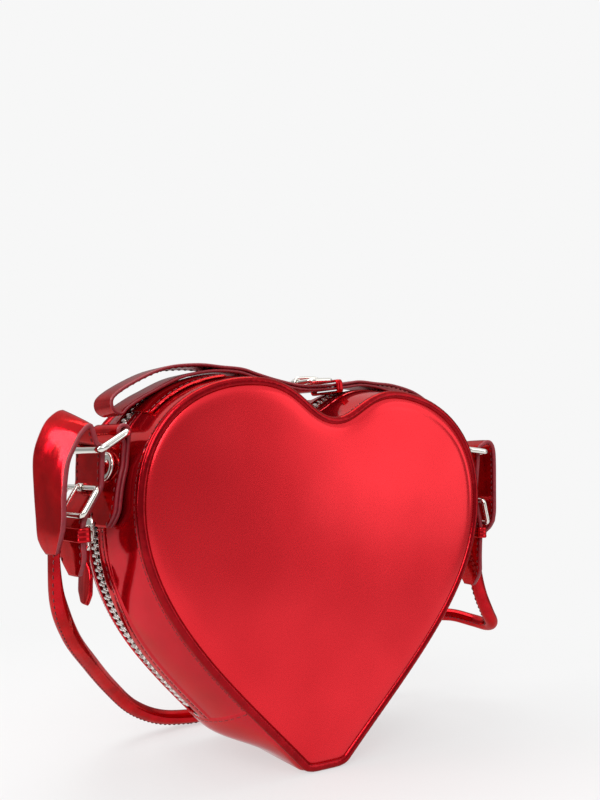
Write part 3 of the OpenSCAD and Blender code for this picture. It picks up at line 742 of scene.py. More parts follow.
def stitch_row(
    points: Array, normals: Array, along: Array, length: float = 2.3, radius: float = 0.27
) -> tuple[Array, Array]:
    """A row of stitches: short thick threads, sunk at both ends, of three rings of six points and two tips.

    Args:
        points: Middle of each stitch, on the leather.
        normals: Outward direction there.
        along: Direction of the row there.
        length: Length of a stitch.
        radius: Radius of the thread.

    Returns:
        Points and triangles and quads as rows of four, with a corner repeated for a triangle.
    """
    side = np.cross(along, normals)
    a = np.linspace(0, 2 * math.pi, 6, endpoint=False)
    round_it = side[:, None, :] * np.cos(a)[None, :, None] + normals[:, None, :] * np.sin(a)[None, :, None]
    rings = []
    for place, size, lift in ((-0.36, 0.8, 0.1), (0.0, 1.0, 0.75), (0.36, 0.8, 0.1)):
        centre = points + along * (place * length) + normals * (radius * lift)
        rings.append(centre[:, None, :] + radius * size * round_it)
    tips = [points + along * (k * length * 0.5) - normals * radius * 0.6 for k in (-1, 1)]
    block = np.concatenate([np.concatenate(rings, 1), tips[0][:, None, :], tips[1][:, None, :]], 1)
    base = grid_faces(3, 6, False, True).tolist()
    for j in range(6):
        base.append([18, (j + 1) % 6, j, j])
        base.append([19, 12 + j, 12 + (j + 1) % 6, 12 + (j + 1) % 6])
    shape = np.array(base)
    offsets = np.arange(len(points))[:, None, None] * 20
    return block.reshape(-1, 3), (shape[None] + offsets).reshape(-1, 4)


def trimmed(faces: Array) -> list[list[int]]:
    """Drops the repeated corner from each triangle that is written as four corners."""
    return [list(f[:3]) if f[2] == f[3] else list(f) for f in faces.tolist()]


def joined(parts: Sequence[tuple[Array, Any]]) -> tuple[Array, list[list[int]]]:
    """Puts several meshes into one.

    Args:
        parts: Points and faces of each mesh.

    Returns:
        All points and all faces.
    """
    verts, faces, base = [], [], 0
    for v, f in parts:
        verts.append(v)
        rows = f.tolist() if isinstance(f, np.ndarray) else f
        faces.extend([[base + k for k in row] for row in rows])
        base += len(v)
    return np.vstack(verts), faces


# The heart


@dataclass
class Heart:
    """Outline and wall of the body, worked out as part.scad does.

    Attributes:
        width: Width over the piping.
        height: Height to the top of the lobes.
        widest: Height of the widest place.
        cleft: Height of the bottom of the cleft.
        lobe_x: Distance of a lobe's top from the middle.
        depth: Depth between the middles of the pipings.
        flat: Width of the flat under the tip.
        seam: Height of the base patch's seams.
        piping: Diameter of the piping.
        low: Bulge of the wall low on the sides.
        top: Bulge over the lobes.
        leather: Thickness of the wall.
    """

    width: float = 200.0
    height: float = 183.5
    widest: float = 127.5
    cleft: float = 168.0
    lobe_x: float = 41.0
    depth: float = 70.0
    flat: float = 10.0
    seam: float = 31.0
    piping: float = 4.4
    low: float = 11.0
    top: float = 2.2
    leather: float = 1.8

    def half(self, n: int = 60) -> Array:
        """Right half of the outline from the middle of the flat to the cleft.

        Args:
            n: Steps on the longest curve.

        Returns:
            Points (x, z).
        """
        w, h = self.width, self.height
        tip = np.array([self.flat / 2 + h * 0.046, h * 0.013])
        lean = w * 0.3 * math.sin(math.radians(45))
        curves = [
            curve([(0, 0), (self.flat / 4, 0), (self.flat / 3, 0), (self.flat / 2, 0)], 4),
            curve([(self.flat / 2, 0), ((self.flat / 2 + tip[0]) / 2, 0), tip - 0.6 * tip[1], tip], n // 6),
            curve([tip, tip + lean, (w / 2, self.widest - h * 0.262), (w / 2, self.widest)], n),
            curve(
                [
                    (w / 2, self.widest), (w / 2, self.widest + h * 0.213), (self.lobe_x + w * 0.142, h),
                    (self.lobe_x, h)
                ],
                n // 2
            ),
            curve(
                [(self.lobe_x, h), (self.lobe_x - w * 0.112, h), (w * 0.068, self.cleft), (0, self.cleft)],
                n // 2
            ),
            np.array([[0, self.cleft]]),
        ]
        return np.vstack(curves)

    def outline(self, step: float) -> Array:
        """Closed outline, anticlockwise from the middle of the flat, with points at even distances.

        Args:
            step: Distance between points.

        Returns:
            Points (x, z).
        """
        right = self.half()
        left = right[-2:0:-1] * [-1, 1]
        return resample(np.vstack([right, left]), step, True)

    def wall(self, step: float, low: Optional[float] = None) -> Array:
        """Path over the lobes from the right base seam to the left one, with points at even distances.

        Args:
            step: Distance between points.
            low: Height where it starts and ends, if not the seam's.

        Returns:
            Points (x, z).
        """
        right = self.half()
        start = self.seam if low is None else low
        k = int(np.argmax(right[:, 1] > start))
        a, b = right[k - 1], right[k]
        first = a + (b - a) * (start - a[1]) / (b[1] - a[1])
        up = np.vstack([first, right[k:]])
        return resample(np.vstack([up, up[-2::-1] * [-1, 1]]), step)

    def base(self, step: float, high: Optional[float] = None) -> Array:
        """Path of the base patch from the left seam under the tip to the right one.

        Args:
            step: Distance between points.
            high: Height where it starts and ends, if not the seam's.

        Returns:
            Points (x, z).
        """
        right = self.half()
        end = self.seam if high is None else high
        k = int(np.argmax(right[:, 1] > end))
        a, b = right[k - 1], right[k]
        last = a + (b - a) * (end - a[1]) / (b[1] - a[1])
        down = np.vstack([right[:k], last])
        return resample(np.vstack([down[:0:-1] * [-1, 1], down]), step)

    def bulge(self, z: Array) -> Array:
        """Bulge of the wall at a height: full from the seams up, fading towards the lobes."""
        fade = smooth((z - self.height * 0.33) / (self.height * 0.54))
        return (self.low + (self.top - self.low) * fade) * smooth(z / (self.seam * 0.9))

    def off(self, z: Array, y: Array) -> Array:
        """Offset of the wall's outer face from the outline, at a height and a depth.

        Args:
            z: Height.
            y: Distance from the zip's middle.

        Returns:
            The offset.
        """
        inset = self.piping * 0.3 * smooth(z / (self.seam * 0.9))
        edge = self.depth / 2 - self.piping / 2 - 0.3
        return -inset + (self.bulge(z) + inset) * (1 - (np.abs(y) / edge) ** 2)

    def sheet(self, path: Array, ys: Array, lift: Any = 0.0, half: Half = Half.FRONT) -> Array:
        """Surface on the wall: path point plus the outward normal times the wall's offset and the lift.

        Args:
            path: Points (x, z) of the outline, anticlockwise.
            ys: Distances from the zip's middle.
            lift: Height over the wall, as a number or an array that fits the grid.
            half: Which half of the bag it is on.

        Returns:
            Points of a grid, one row for each path point.
        """
        along = tangents(path)
        normal = np.stack([along[:, 1], -along[:, 0]], -1)
        z = path[:, 1][:, None]
        offset = self.off(z, ys[None, :]) + lift
        x = path[:, 0][:, None] + normal[:, 0][:, None] * offset
        zz = z + normal[:, 1][:, None] * offset
        y = np.broadcast_to(half.value * ys[None, :], x.shape)
        return np.stack([x, y, zz], -1)

    def reach(self, z: float, y: float) -> float:
        """X of the wall's outer face on the right side, at a height and a depth.

        Args:
            z: Height.
            y: Distance from the zip's middle.

        Returns:
            The X.
        """
        path = self.half()
        side = path[(path[:, 1] > self.seam) & (path[:, 0] > self.lobe_x)]
        return float(np.interp(z, side[:, 1], side[:, 0]) + self.off(np.array(z), np.array(y)))


def grid_normals(points: Array) -> tuple[Array, Array]:
    """Unit normals and unit directions down the rows of a grid of points.

    Args:
        points: Grid of points.

    Returns:
        Normals and directions, one for each point.
    """
    down = np.gradient(points, axis=0)
    across = np.gradient(points, axis=1)
    return unit(np.cross(across, down)), unit(down)


@dataclass
class Body:
    """The leather body: domed faces, pipings, gussets, base patch, lining and pocket.

    Attributes:
        shop: Where pieces are made.
        heart: Outline and wall.
        face_edge: Y of the face where it meets the piping.
        roll: Height of the soft roll inside the piping.
        dome: Height of the face's broad dome over the roll.
        crease_in: Distance of the faint crease from the outline.
    """

    shop: Workshop
    heart: Heart
    face_edge: float = 34.9
    roll: float = 2.1
    dome: float = 2.0
    crease_in: float = 8.2

    BODY = {Half.FRONT: "front_half", Half.BACK: "back_half"}
    NAME = {Half.FRONT: "front", Half.BACK: "back"}

    def build(self) -> None:
        """Builds both halves and what joins them."""
        for half in Half:
            self.face(half)
            self.piping(half)
            self.gusset(half)
            self.lining(half)
        self.base_patch()
        self.pocket()

    def plate(
        self, inset: float, rings: Array, lift: Callable[[Array, Array], Array], step: float = 2.2
    ) -> tuple[Array, Array, Array]:
        """Heart-shaped sheet: rays run from the middle of the heart to its inset outline.

        Args:
            inset: Distance of the sheet's edge from the outline.
            rings: Shares of the way out, from 0 to 1.
            lift: Gives the sheet's distance from the middle plane for (distance from the outline, points).
            step: Distance between the rays at the outline.

        Returns:
            Points (x, lift, z), faces, and the distance of each point from the outline.
        """
        out = self.heart.outline(step)
        along = tangents(out, True)
        normal = np.stack([along[:, 1], -along[:, 0]], -1)
        edge = out - normal * inset
        centre = np.array([0.0, self.heart.height * 0.5])
        flat = centre + rings[:, None, None] * (edge - centre)[None]
        dense = self.heart.outline(0.8)
        distance = np.empty(flat.shape[:2])
        for k in range(len(rings)):
            distance[k] = np.sqrt(((flat[k][:, None, :] - dense[None]) ** 2).sum(-1)).min(1)
        y = lift(distance, flat)
        verts = np.stack([flat[..., 0], y, flat[..., 1]], -1).reshape(-1, 3)
        return verts, grid_faces(len(rings), len(out), False, True), distance

    def face(self, half: Half) -> None:
        """Domed face: its edge dives into the piping, then come a soft roll, a faint crease and a broad dome.

        Its height over the edge is roll * (1 - exp(-d / 2.6)) + dome * a smooth hill - a crease, where d is
        the distance from the piping.

        Args:
            half: Half of the bag.
        """
        heart = self.heart

        def lift(distance: Array, flat: Array) -> Array:
            """Height of the face over its middle plane.

            Args:
                distance: Distance of each point from the outline.
                flat: Points (x, z).

            Returns:
                Distance of each from the middle plane.
            """
            d = np.maximum(distance - heart.piping * 0.72, 0)
            x, z = flat[..., 0], flat[..., 1]
            hill = np.exp(-((x / 96) ** 2) - ((z - 104) / 92) ** 2)
            stronger = 0.12 + 0.88 * smooth((x - 22) / 24) * smooth((z - 112) / 30)
            crease = 0.3 * stronger * np.exp(-(((distance - self.crease_in) / 1.0) ** 2))
            waves = 0.05 * np.sin(x / 23 + 1.1 * np.sin(z / 31)) * np.sin(z / 27 + 0.6)
            roll = self.roll * (1 - np.exp(-d / 2.6))
            return self.face_edge + roll + self.dome * hill - crease + waves * smooth(d / 12)

        rings = np.concatenate(
            [np.linspace(0.004, 0.8, 26), 0.8 + 0.2 * (1 - np.geomspace(1, 0.02, 30)[1:]) / 0.98]
        )
        verts, faces, _ = self.plate(heart.piping * 0.62, rings, lift)
        columns = len(heart.outline(2.2))
        centre = verts[:columns].mean(0)
        verts = np.vstack([verts, centre])
        caps = [[len(verts) - 1, (j + 1) % columns, j] for j in range(columns)]
        verts[:, 1] *= half.value
        every = faces.tolist() + caps
        if half is Half.FRONT:
            every = [f[::-1] for f in every]
        self.shop.piece(
            f"{self.NAME[half]}_face", verts, [f[::-1] for f in every], "face", self.BODY[half],
            "red_leather", [f"{self.NAME[half]}_panel"]
        )

    def piping(self, half: Half) -> None:
        """Cord in a leather wrap: a tube along the inset outline, a little swollen between its stitches.

        Args:
            half: Half of the bag.
        """
        out = self.heart.outline(1.1)
        along = tangents(out, True)
        normal = np.stack([along[:, 1], -along[:, 0]], -1)
        r = self.heart.piping / 2
        mid = out - normal * r
        path = np.stack([mid[:, 0], np.full(len(mid), half.value * self.heart.depth / 2), mid[:, 1]], -1)
        u = np.stack([normal[:, 0], np.zeros(len(mid)), normal[:, 1]], -1)
        v = np.broadcast_to(np.array([0.0, 1.0, 0.0]), u.shape)
        puff = 1 + 0.012 * np.sin(np.arange(len(mid)) * 1.1 * 2 * math.pi / 3.3)
        verts = sweep(path, u, v, circle(r, 20), puff, puff)
        faces = outward(verts, tube_faces(len(path), 20, True))
        self.shop.piece(
            f"{self.NAME[half]}_piping_cord", verts, faces, "piping", self.BODY[half], "dark_leather",
            [f"{self.NAME[half]}_piping"]
        )

    def gusset(self, half: Half) -> None:
        """Side wall: a bulged sheet with a doubled, stitched strip along the zip and a rolled edge.

        Its height is the wall's, plus 0.55 mm where the leather is doubled, with soft ripples that fade at
        the seams.

        Args:
            half: Half of the bag.
        """
        heart = self.heart
        path = heart.wall(1.6)
        edge = heart.depth / 2 - heart.piping / 2 - 0.3
        outer = np.concatenate([np.linspace(edge + 1.6, 13.4, 26), np.linspace(13.0, 6.3, 16), [6.05, 6.0]])
        inner = np.linspace(6.1, edge, 8)
        run = np.arange(len(path)) * 1.6
        rows = run[:, None]
        groove = 0.18 * np.exp(-(((outer - 10.0) / 0.7) ** 2))[None, :]
        doubled = 0.55 * (1 - smooth((outer - 12.2) / 0.8))[None, :] - groove
        tuck = -1.5 * smooth((outer - edge + 0.6) / 1.6)[None, :]
        fade = np.sin(np.pi * np.clip((outer[None, :] - 6) / (edge - 6), 0, 1))
        ripple = 0.16 * np.sin(rows / 17 + outer[None, :] / 9) * np.sin(rows / 41 + 1.3) * fade
        roll_in = np.zeros((1, len(outer)))
        roll_in[0, -2:] = (-0.25, -0.9)
        top = heart.sheet(path, outer, doubled + tuck + ripple + roll_in, half)
        under = heart.sheet(path, inner, -heart.leather, half)
        loop = np.concatenate([top, under], 1)
        verts = loop.reshape(-1, 3)
        faces = outward(verts, tube_faces(len(path), loop.shape[1]))
        name = self.NAME[half]
        self.shop.piece(
            f"{name}_side_wall", verts, faces, "gusset", self.BODY[half], "red_leather", [f"{name}_gusset"]
        )
        seams = [(edge - 1.3, 0.0), (10.0, 0.42)]
        parts = []
        for y, lift in seams:
            line = heart.wall(STITCH_PITCH)
            grid = heart.sheet(line, np.array([y - 0.5, y, y + 0.5]), lift, half)
            normal, down = grid_normals(grid)
            sign = -half.value
            parts.append(stitch_row(grid[1:-1, 1], normal[1:-1, 1] * sign, down[1:-1, 1]))
        verts, faces = joined(parts)
        self.shop.piece(
            f"{name}_wall_stitches", verts, trimmed(np.array(faces)), "thread", self.BODY[half], "red_leather"
        )

    def lining(self, half: Half) -> None:
        """Cloth inside: a heart on the stiffener and a band inside the wall, with the stiffener behind.

        Args:
            half: Half of the bag.
        """
        heart, name = self.heart, self.NAME[half]
        rings = np.concatenate([np.linspace(0.004, 0.85, 16), np.linspace(0.87, 1, 8)])

        def lift(distance: Array, flat: Array) -> Array:
            """Height of the cloth, a little loose over the board."""
            folds = 1 + 0.5 * np.sin(flat[..., 0] / 13) * np.sin(flat[..., 1] / 17)
            return 31.0 - 0.35 * smooth((distance - 8) / 30) * folds

        verts, faces, _ = self.plate(3.4, rings, lift, 4.0)
        columns = len(heart.outline(4.0))
        verts = np.vstack([verts, verts[:columns].mean(0)])
        every = faces.tolist() + [[len(verts) - 1, (j + 1) % columns, j] for j in range(columns)]
        verts[:, 1] *= half.value
        if half is Half.BACK:
            every = [f[::-1] for f in every]
        band = heart.sheet(heart.wall(3.0), np.linspace(31.3, 9.9, 10), -2.6, half)
        band_faces = grid_faces(band.shape[0], band.shape[1])
        if half is Half.FRONT:
            band_faces = band_faces[:, ::-1]
        verts, every = joined([(verts, every), (band.reshape(-1, 3), band_faces)])
        self.shop.piece(
            f"{name}_cloth", verts, every, "lining", self.BODY[half], "lining_cloth", [f"{name}_lining"]
        )

    def base_patch(self) -> None:
        """Patch under the tip: a sheet over the walls' ends, with a turned edge and two rows of stitches."""
        heart = self.heart
        path = heart.base(1.2, heart.seam + 1.6)
        edge = heart.depth / 2 - heart.piping / 2 - 0.3
        ys = np.linspace(-edge - 1.4, edge + 1.4, 49)
        run = np.linspace(0, 1, len(path))
        length = len(path) * 1.2
        near = np.minimum(run, 1 - run)[:, None] * length
        lift = 0.75 * smooth(near / 0.9) - 0.16 * np.exp(-(((near - 2.4) / 0.7) ** 2))
        tuck = -1.5 * smooth((np.abs(ys) - edge + 0.6) / 1.6)[None, :]
        flat = heart.sheet(path, ys, lift + tuck - 0.35 * (near < 0.01))
        flat[..., 1] *= -1
        flat[..., 2] = np.maximum(flat[..., 2], 0.02)
        under = heart.sheet(path, np.linspace(edge, -edge, 9), -heart.leather)
        under[..., 1] *= -1
        loop = np.concatenate([flat, under], 1)
        verts = loop.reshape(-1, 3)
        faces = outward(verts, tube_faces(len(path), loop.shape[1]))
        self.shop.piece("base_patch", verts, faces, "gusset", "front_half", "red_leather", ["base_gusset"],
                        blend=("back_half", (0, 4, 10), (0, 34, 10)))
        parts = []
        for k in (2, len(path) - 3):
            count = int(2 * edge / STITCH_PITCH)
            line = np.linspace(-edge + 1.5, edge - 1.5, count)
            grid = heart.sheet(path[k - 1 : k + 2], line, 0.6)
            grid[..., 1] *= -1
            normal, _ = grid_normals(grid)
            along = unit(np.gradient(grid, axis=1))
            parts.append(stitch_row(grid[1], -normal[1], along[1]))
        verts, faces = joined(parts)
        self.shop.piece(
            "base_stitches", verts, trimmed(np.array(faces)), "thread", "front_half", "red_leather",
            blend=("back_half", (0, 4, 10), (0, 34, 10))
        )

    def pocket(self) -> None:
        """Slip pocket: cloth with rounded lower corners that stands off the lining at its hemmed mouth."""
        low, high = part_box("slip_pocket")
        x0, x1, z0, z1 = (v / MM for v in (low.x, high.x, low.z, high.z))
        y = low.y / MM
        u, v = np.meshgrid(np.linspace(-1, 1, 41), np.linspace(0, 1, 25), indexing="ij")
        round_in = (x1 - x0) * 0.12
        drop = np.clip(1 - v * (z1 - z0) / round_in, 0, 1)
        narrow = round_in * (1 - np.sqrt(np.clip(1 - drop**2, 0, 1)))
        x = (x0 + x1) / 2 + u * ((x1 - x0) / 2 - narrow)
        z = z0 + v * (z1 - z0)
        belly = y + 0.35 - 0.9 * np.sin(np.pi * (u + 1) / 2) * v**3 - 0.3 * (v > 0.9)
        front = np.stack([x, belly, z], -1)
        back = front[:, ::-1] + [0, 0.5, 0]
        loop = np.concatenate([front, back], 1)
        verts = loop.reshape(-1, 3)
        faces = outward(verts, tube_faces(loop.shape[0], loop.shape[1]))
        self.shop.piece("pocket_cloth", verts, faces, "lining", "back_half", "lining_cloth", ["slip_pocket"])


@dataclass
class Zip:
    """The zip: tapes, interlocking teeth, end stops, slider and pull.

    Attributes:
        shop: Where pieces are made.
        heart: Outline and wall.
        sink: Depth of the tapes' faces under the wall.
        pitch: Distance between the teeth of one side.
        tooth_h: Height of a tooth over the tape.
        stop_l: Room for a stop at each end.
        slider_z: Height of the slider on the left side.
    """

    shop: Workshop
    heart: Heart
    sink: float = 2.1
    pitch: float = 3.3
    tooth_h: float = 2.1
    stop_l: float = 4.0
    slider_z: float = 113.0

    def build(self) -> None:
        """Builds the pieces of the zip."""
        for half in Half:
            self.tape(half)
            self.teeth(half)
        self.stops()
        self.slider()
        self.pull()

    def tape(self, half: Half) -> None:
        """Woven tape with a corded edge: a sheet on the wall, thicker where the teeth hold it.

        Args:
            half: Half of the bag.
        """
        path = self.heart.wall(2.0)
        ys = np.concatenate([np.linspace(9.5, 2.2, 8), np.linspace(1.9, 0.9, 5)])
        cord = 0.35 * np.exp(-(((ys - 1.5) / 0.6) ** 2))
        top = self.heart.sheet(path, ys, -self.sink + cord[None, :], half)
        under = self.heart.sheet(path, ys[::-1], -self.sink - 0.8, half)
        loop = np.concatenate([top, under], 1)
        verts = loop.reshape(-1, 3)
        name = Body.NAME[half]
        self.shop.piece(
            f"{name}_tape", verts, outward(verts, tube_faces(len(path), loop.shape[1])), "tape",
            Body.BODY[half], "zip_tape", [f"zip_tape_{name}"]
        )

    def frames(self, shift: float) -> tuple[Array, Array, Array]:
        """Places, outward normals and directions of the teeth of one side.

        Args:
            shift: Part of a pitch by which they are set on.

        Returns:
            Points on the zip line, normals and tangents.
        """
        path = self.heart.wall(0.5)
        line = self.heart.sheet(path, np.array([0.0]), -self.sink)[:, 0]
        run = np.concatenate([[0], np.cumsum(np.linalg.norm(np.diff(line, axis=0), axis=1))])
        count = int((run[-1] - 2 * self.stop_l) / self.pitch) - 1
        s = self.stop_l + self.pitch * (np.arange(count) + 0.5 + shift)
        places = rows_at(s, run, line)
        t = unit(rows_at(s, run, tangents(line)))
        normal = unit(np.stack([t[:, 2], np.zeros(len(t)), -t[:, 0]], -1))
        return places, normal, t

    def teeth(self, half: Half) -> None:
        """Cast teeth: rounded bars across the tape, whose swollen heads reach between the other side's.

        A bar is carried from its root to its head in seven rings of ten points of changing size.

        Args:
            half: Half of the bag.
        """
        places, normal, t = self.frames(0.0 if half is Half.FRONT else 0.5)
        across = np.array([0.0, half.value, 0.0])
        out = np.array([4.3, 4.0, 2.6, 1.2, 0.2, -0.75, -0.95])
        wide = np.array([0.62, 0.82, 0.78, 0.62, 0.8, 0.72, 0.42])
        high = np.array([0.55, 0.95, 1.0, 0.86, 0.95, 0.86, 0.5])
        a = np.linspace(0, 2 * math.pi, 10, endpoint=False) + math.pi / 10
        p = 0.6
        cx = np.sign(np.cos(a)) * np.abs(np.cos(a)) ** p
        cy = np.sign(np.sin(a)) * np.abs(np.sin(a)) ** p
        mid = self.tooth_h / 2 + 0.1
        rings = []
        for o, w, h in zip(out, wide, high):
            centre = places + across * o + normal * mid
            spread = t[:, None, :] * (cx * w)[None, :, None]
            rise = normal[:, None, :] * (cy * h * self.tooth_h / 2)[None, :, None]
            rings.append(centre[:, None, :] + spread + rise)
        block = np.stack(rings, 1).reshape(len(places), -1, 3)
        shape = outward(block[0], tube_faces(len(out), len(a)))
        faces = [[k * block.shape[1] + c for c in f] for k in range(len(places)) for f in shape]
        name = Body.NAME[half]
        self.shop.piece(
            f"{name}_teeth", block.reshape(-1, 3), faces, "tooth", Body.BODY[half], "silver_metal",
            [f"zip_teeth_{name}"]
        )

    def stops(self) -> None:
        """Crimped end stops, kept as their CAD solids in nickel."""
        dress("zip_end_stops", self.shop.paints("tooth"))

    def slider_frame(self) -> tuple[Array, Array, Array]:
        """Place of the slider's under face, its outward direction and its direction up the zip.

        Returns:
            The place and two unit vectors.
        """
        z = self.slider_z
        x = self.heart.reach(z, 0.0)
        lean = math.atan((self.heart.reach(z + 2, 0.0) - self.heart.reach(z - 2, 0.0)) / 4)
        under = x - self.sink + self.tooth_h + 0.45
        out = np.array([-math.cos(lean), 0.0, -math.sin(lean)])
        up = np.array([-math.sin(lean), 0.0, math.cos(lean)])
        return np.array([-under, 0.0, z]), out, up

    def slider(self) -> None:
        """Slider: a crowned plate, narrow below and wide above, with an arched bridge for the pull."""
        at, out, up = self.slider_frame()
        side = np.array([0.0, 1.0, 0.0])
        s = np.linspace(0, 1, 21)
        crown = 1.4 * smooth((s - 0.86) / 0.14) ** 2
        foot = 1.2 * (1 - smooth(s / 0.12))
        half_w = 2.9 + 1.6 * smooth(s / 0.55) - crown - foot
        path = at + up * ((s - 0.5) * 11)[:, None]
        section = flat_section(2.0, 1.5, 0.0, 1, 9) + [0, 0.75]
        section[:, 1] += 0.35 * (1 - section[:, 0] ** 2) * (section[:, 1] > 0.8)
        frames_u = np.broadcast_to(side, path.shape)
        frames_v = np.broadcast_to(out, path.shape)
        plate = sweep(path, frames_u, frames_v, section, half_w)
        t = np.linspace(0, math.pi, 17)
        arch = at + out * 1.6 + up * (np.cos(t) * 2.3)[:, None] + out * (np.sin(t) * 2.0)[:, None]
        arch = np.vstack([arch[:1] - out * 0.8, arch, arch[-1:] - out * 0.8])
        u, v = carried_frames(arch, side)
        arm = flat_section(2.4, 0.8, 0.0, 1, 6)
        bridge = sweep(arch, u, v, arm)
        plate_part = (plate, outward(plate, tube_faces(len(path), len(section))))
        bridge_part = (bridge, outward(bridge, tube_faces(len(arch), len(arm))))
        verts, faces = joined([plate_part, bridge_part])
        self.shop.piece("slider_casting", verts, faces, "metal", "zip_slider", "silver_metal", ["zip_slider"])

    def pull(self) -> None:
        """Pull: a wire link and a folded leather tab with a narrow neck and a blunt paddle."""
        at, out, _ = self.slider_frame()
        bar = at + out * (1.5 + 0.78)
        w, l, r = 3.5, 8.0, 0.7
        corner = 1.2
        loop = rounded_rectangle((corner - w, w - corner), (corner - l, -corner), corner, 7)
        flat = resample(loop, 0.5, True)
        path = np.stack([np.full(len(flat), bar[0]), flat[:, 0], bar[2] + flat[:, 1]], -1)
        u, v = carried_frames(path, (1, 0, 0), True)
        verts = sweep(path, u, v, circle(r, 12))
        self.shop.piece(
            "pull_link", verts, outward(verts, tube_faces(len(path), 12, True)), "metal", "zip_pull",
            "silver_metal", ["zip_pull_link"]
        )
        s = np.linspace(0, 1, 60)
        half_w = np.interp(s, [0, 0.3, 0.42, 0.5, 0.8, 0.93, 1.0], [2.7, 2.7, 6.6, 7.9, 8.0, 5.2, 3.4])
        half_w = np.convolve(np.pad(half_w, 2, mode="edge"), np.ones(5) / 5, "valid")
        thin = 1 - 0.75 * np.maximum(smooth((s - 0.97) / 0.03), 1 - smooth(s / 0.03))
        line = bar + np.array([0.0, 0.0, -l + 1.7]) + np.array([0.0, 0.0, -1.0]) * (s * 26)[:, None]
        u = np.broadcast_to(np.array([0.0, 1.0, 0.0]), line.shape)
        v = np.broadcast_to(np.array([-1.0, 0.0, 0.0]), line.shape)
        section = flat_section(2.0, 2.0, 0.0, 1, 12)
        section[:, 0] = np.clip(section[:, 0] * 1.6, -1, 1)
        verts = sweep(line, u, v, section, half_w, thin)
        self.shop.piece(
            "pull_tab", verts, outward(verts, tube_faces(len(line), len(section))), "strap", "zip_pull",
            "dark_leather", ["zip_pull_leather"]
        )


def dress(node: str, material: bpy.types.Material) -> None:
    """Gives a CAD node a material in all its slots.

    Args:
        node: Name of the CAD node.
        material: Its finish.
    """
    obj = bpy.data.objects[node]
    if not obj.material_slots:
        obj.data.materials.append(material)
    for each in obj.material_slots:
        each.material = material


# Straps and hardware


@dataclass(frozen=True)
class Hang:
    """How the tab, the ring and the belt hang on one side.

    Attributes:
        droop: Angle of the ring below level, in degrees.
        ease: Share of the wall's slope that the tab keeps over its stud.
        spread: How far the belt arches out from the ring.
        end_drop: Drop of the belt's outer end below the ring.
        tip_drop: Drop of its free tip.
        buckle_drop: Drop of its buckle.
        leg: Places down the inner leg: out as shares of the spread, down as shares of the tip's drop.
        arch: Places over the ring and down the outer leg: shares of the spread and of the end's drop.
        seam: Turn of the roll's seam about it, in degrees, so that it shows as in the photograph.
        twist: How far the belt's rear edge stands out and up from its front edge: rows of (share of the
            way from tip to end, out, up).
    """

    droop: float
    ease: float
    spread: float
    end_drop: float
    tip_drop: float
    buckle_drop: float
    leg: tuple[tuple[float, float], ...]
    arch: tuple[tuple[float, float], ...]
    seam: float
    twist: tuple[tuple[float, float, float], ...] = ((0, 0, 0), (1, 0, 0))


HANGS = {
    Side.LEFT: Hang(
        droop=33.0, ease=0.15, spread=15.0, end_drop=43.0, tip_drop=52.0, buckle_drop=17.0, seam=215.0,
        leg=(
            (0, 0.15), (0, 0.27), (0.1, 0.345), (0.42, 0.5), (0.52, 0.6), (0.5, 0.72), (0.42, 0.87), (0.34, 1)
        ),
        arch=(
            (0.23, 0.84), (0.58, 0.63), (0.8, 0.23), (0.97, -0.11), (0.98, -0.39), (0.93, -0.66),
            (0.88, -0.85), (0.74, -1),
        ),
        twist=(
            (0, 0, 0), (0.42, 0, 0), (0.46, 0.5, 3), (0.52, 1, 7.2), (0.57, 4.6, 7.5), (0.62, 6.2, 5.5),
            (0.7, 4.8, 3), (0.8, 2.2, 1), (0.9, 1, 0), (1, 0, 0),
        ),
    ),
    Side.RIGHT: Hang(
        droop=4.0, ease=1.0, spread=9.0, end_drop=49.0, tip_drop=76.0, buckle_drop=28.0, seam=215.0,
        leg=((-0.04, 0.1), (-0.13, 0.25), (-0.11, 0.36), (0.2, 0.5), (0.28, 0.6), (0.27, 0.79), (0.36, 1)),
        arch=(
            (0.28, 0.62), (0.6, 0.62), (0.85, 0.25), (0.95, -0.1), (1, -0.45), (1.02, -0.7), (0.92, -0.86),
            (0.5, -1),
        ),
    ),
}

# Points of the roll's line between two places of its route.
ROUTE_STEPS = 12


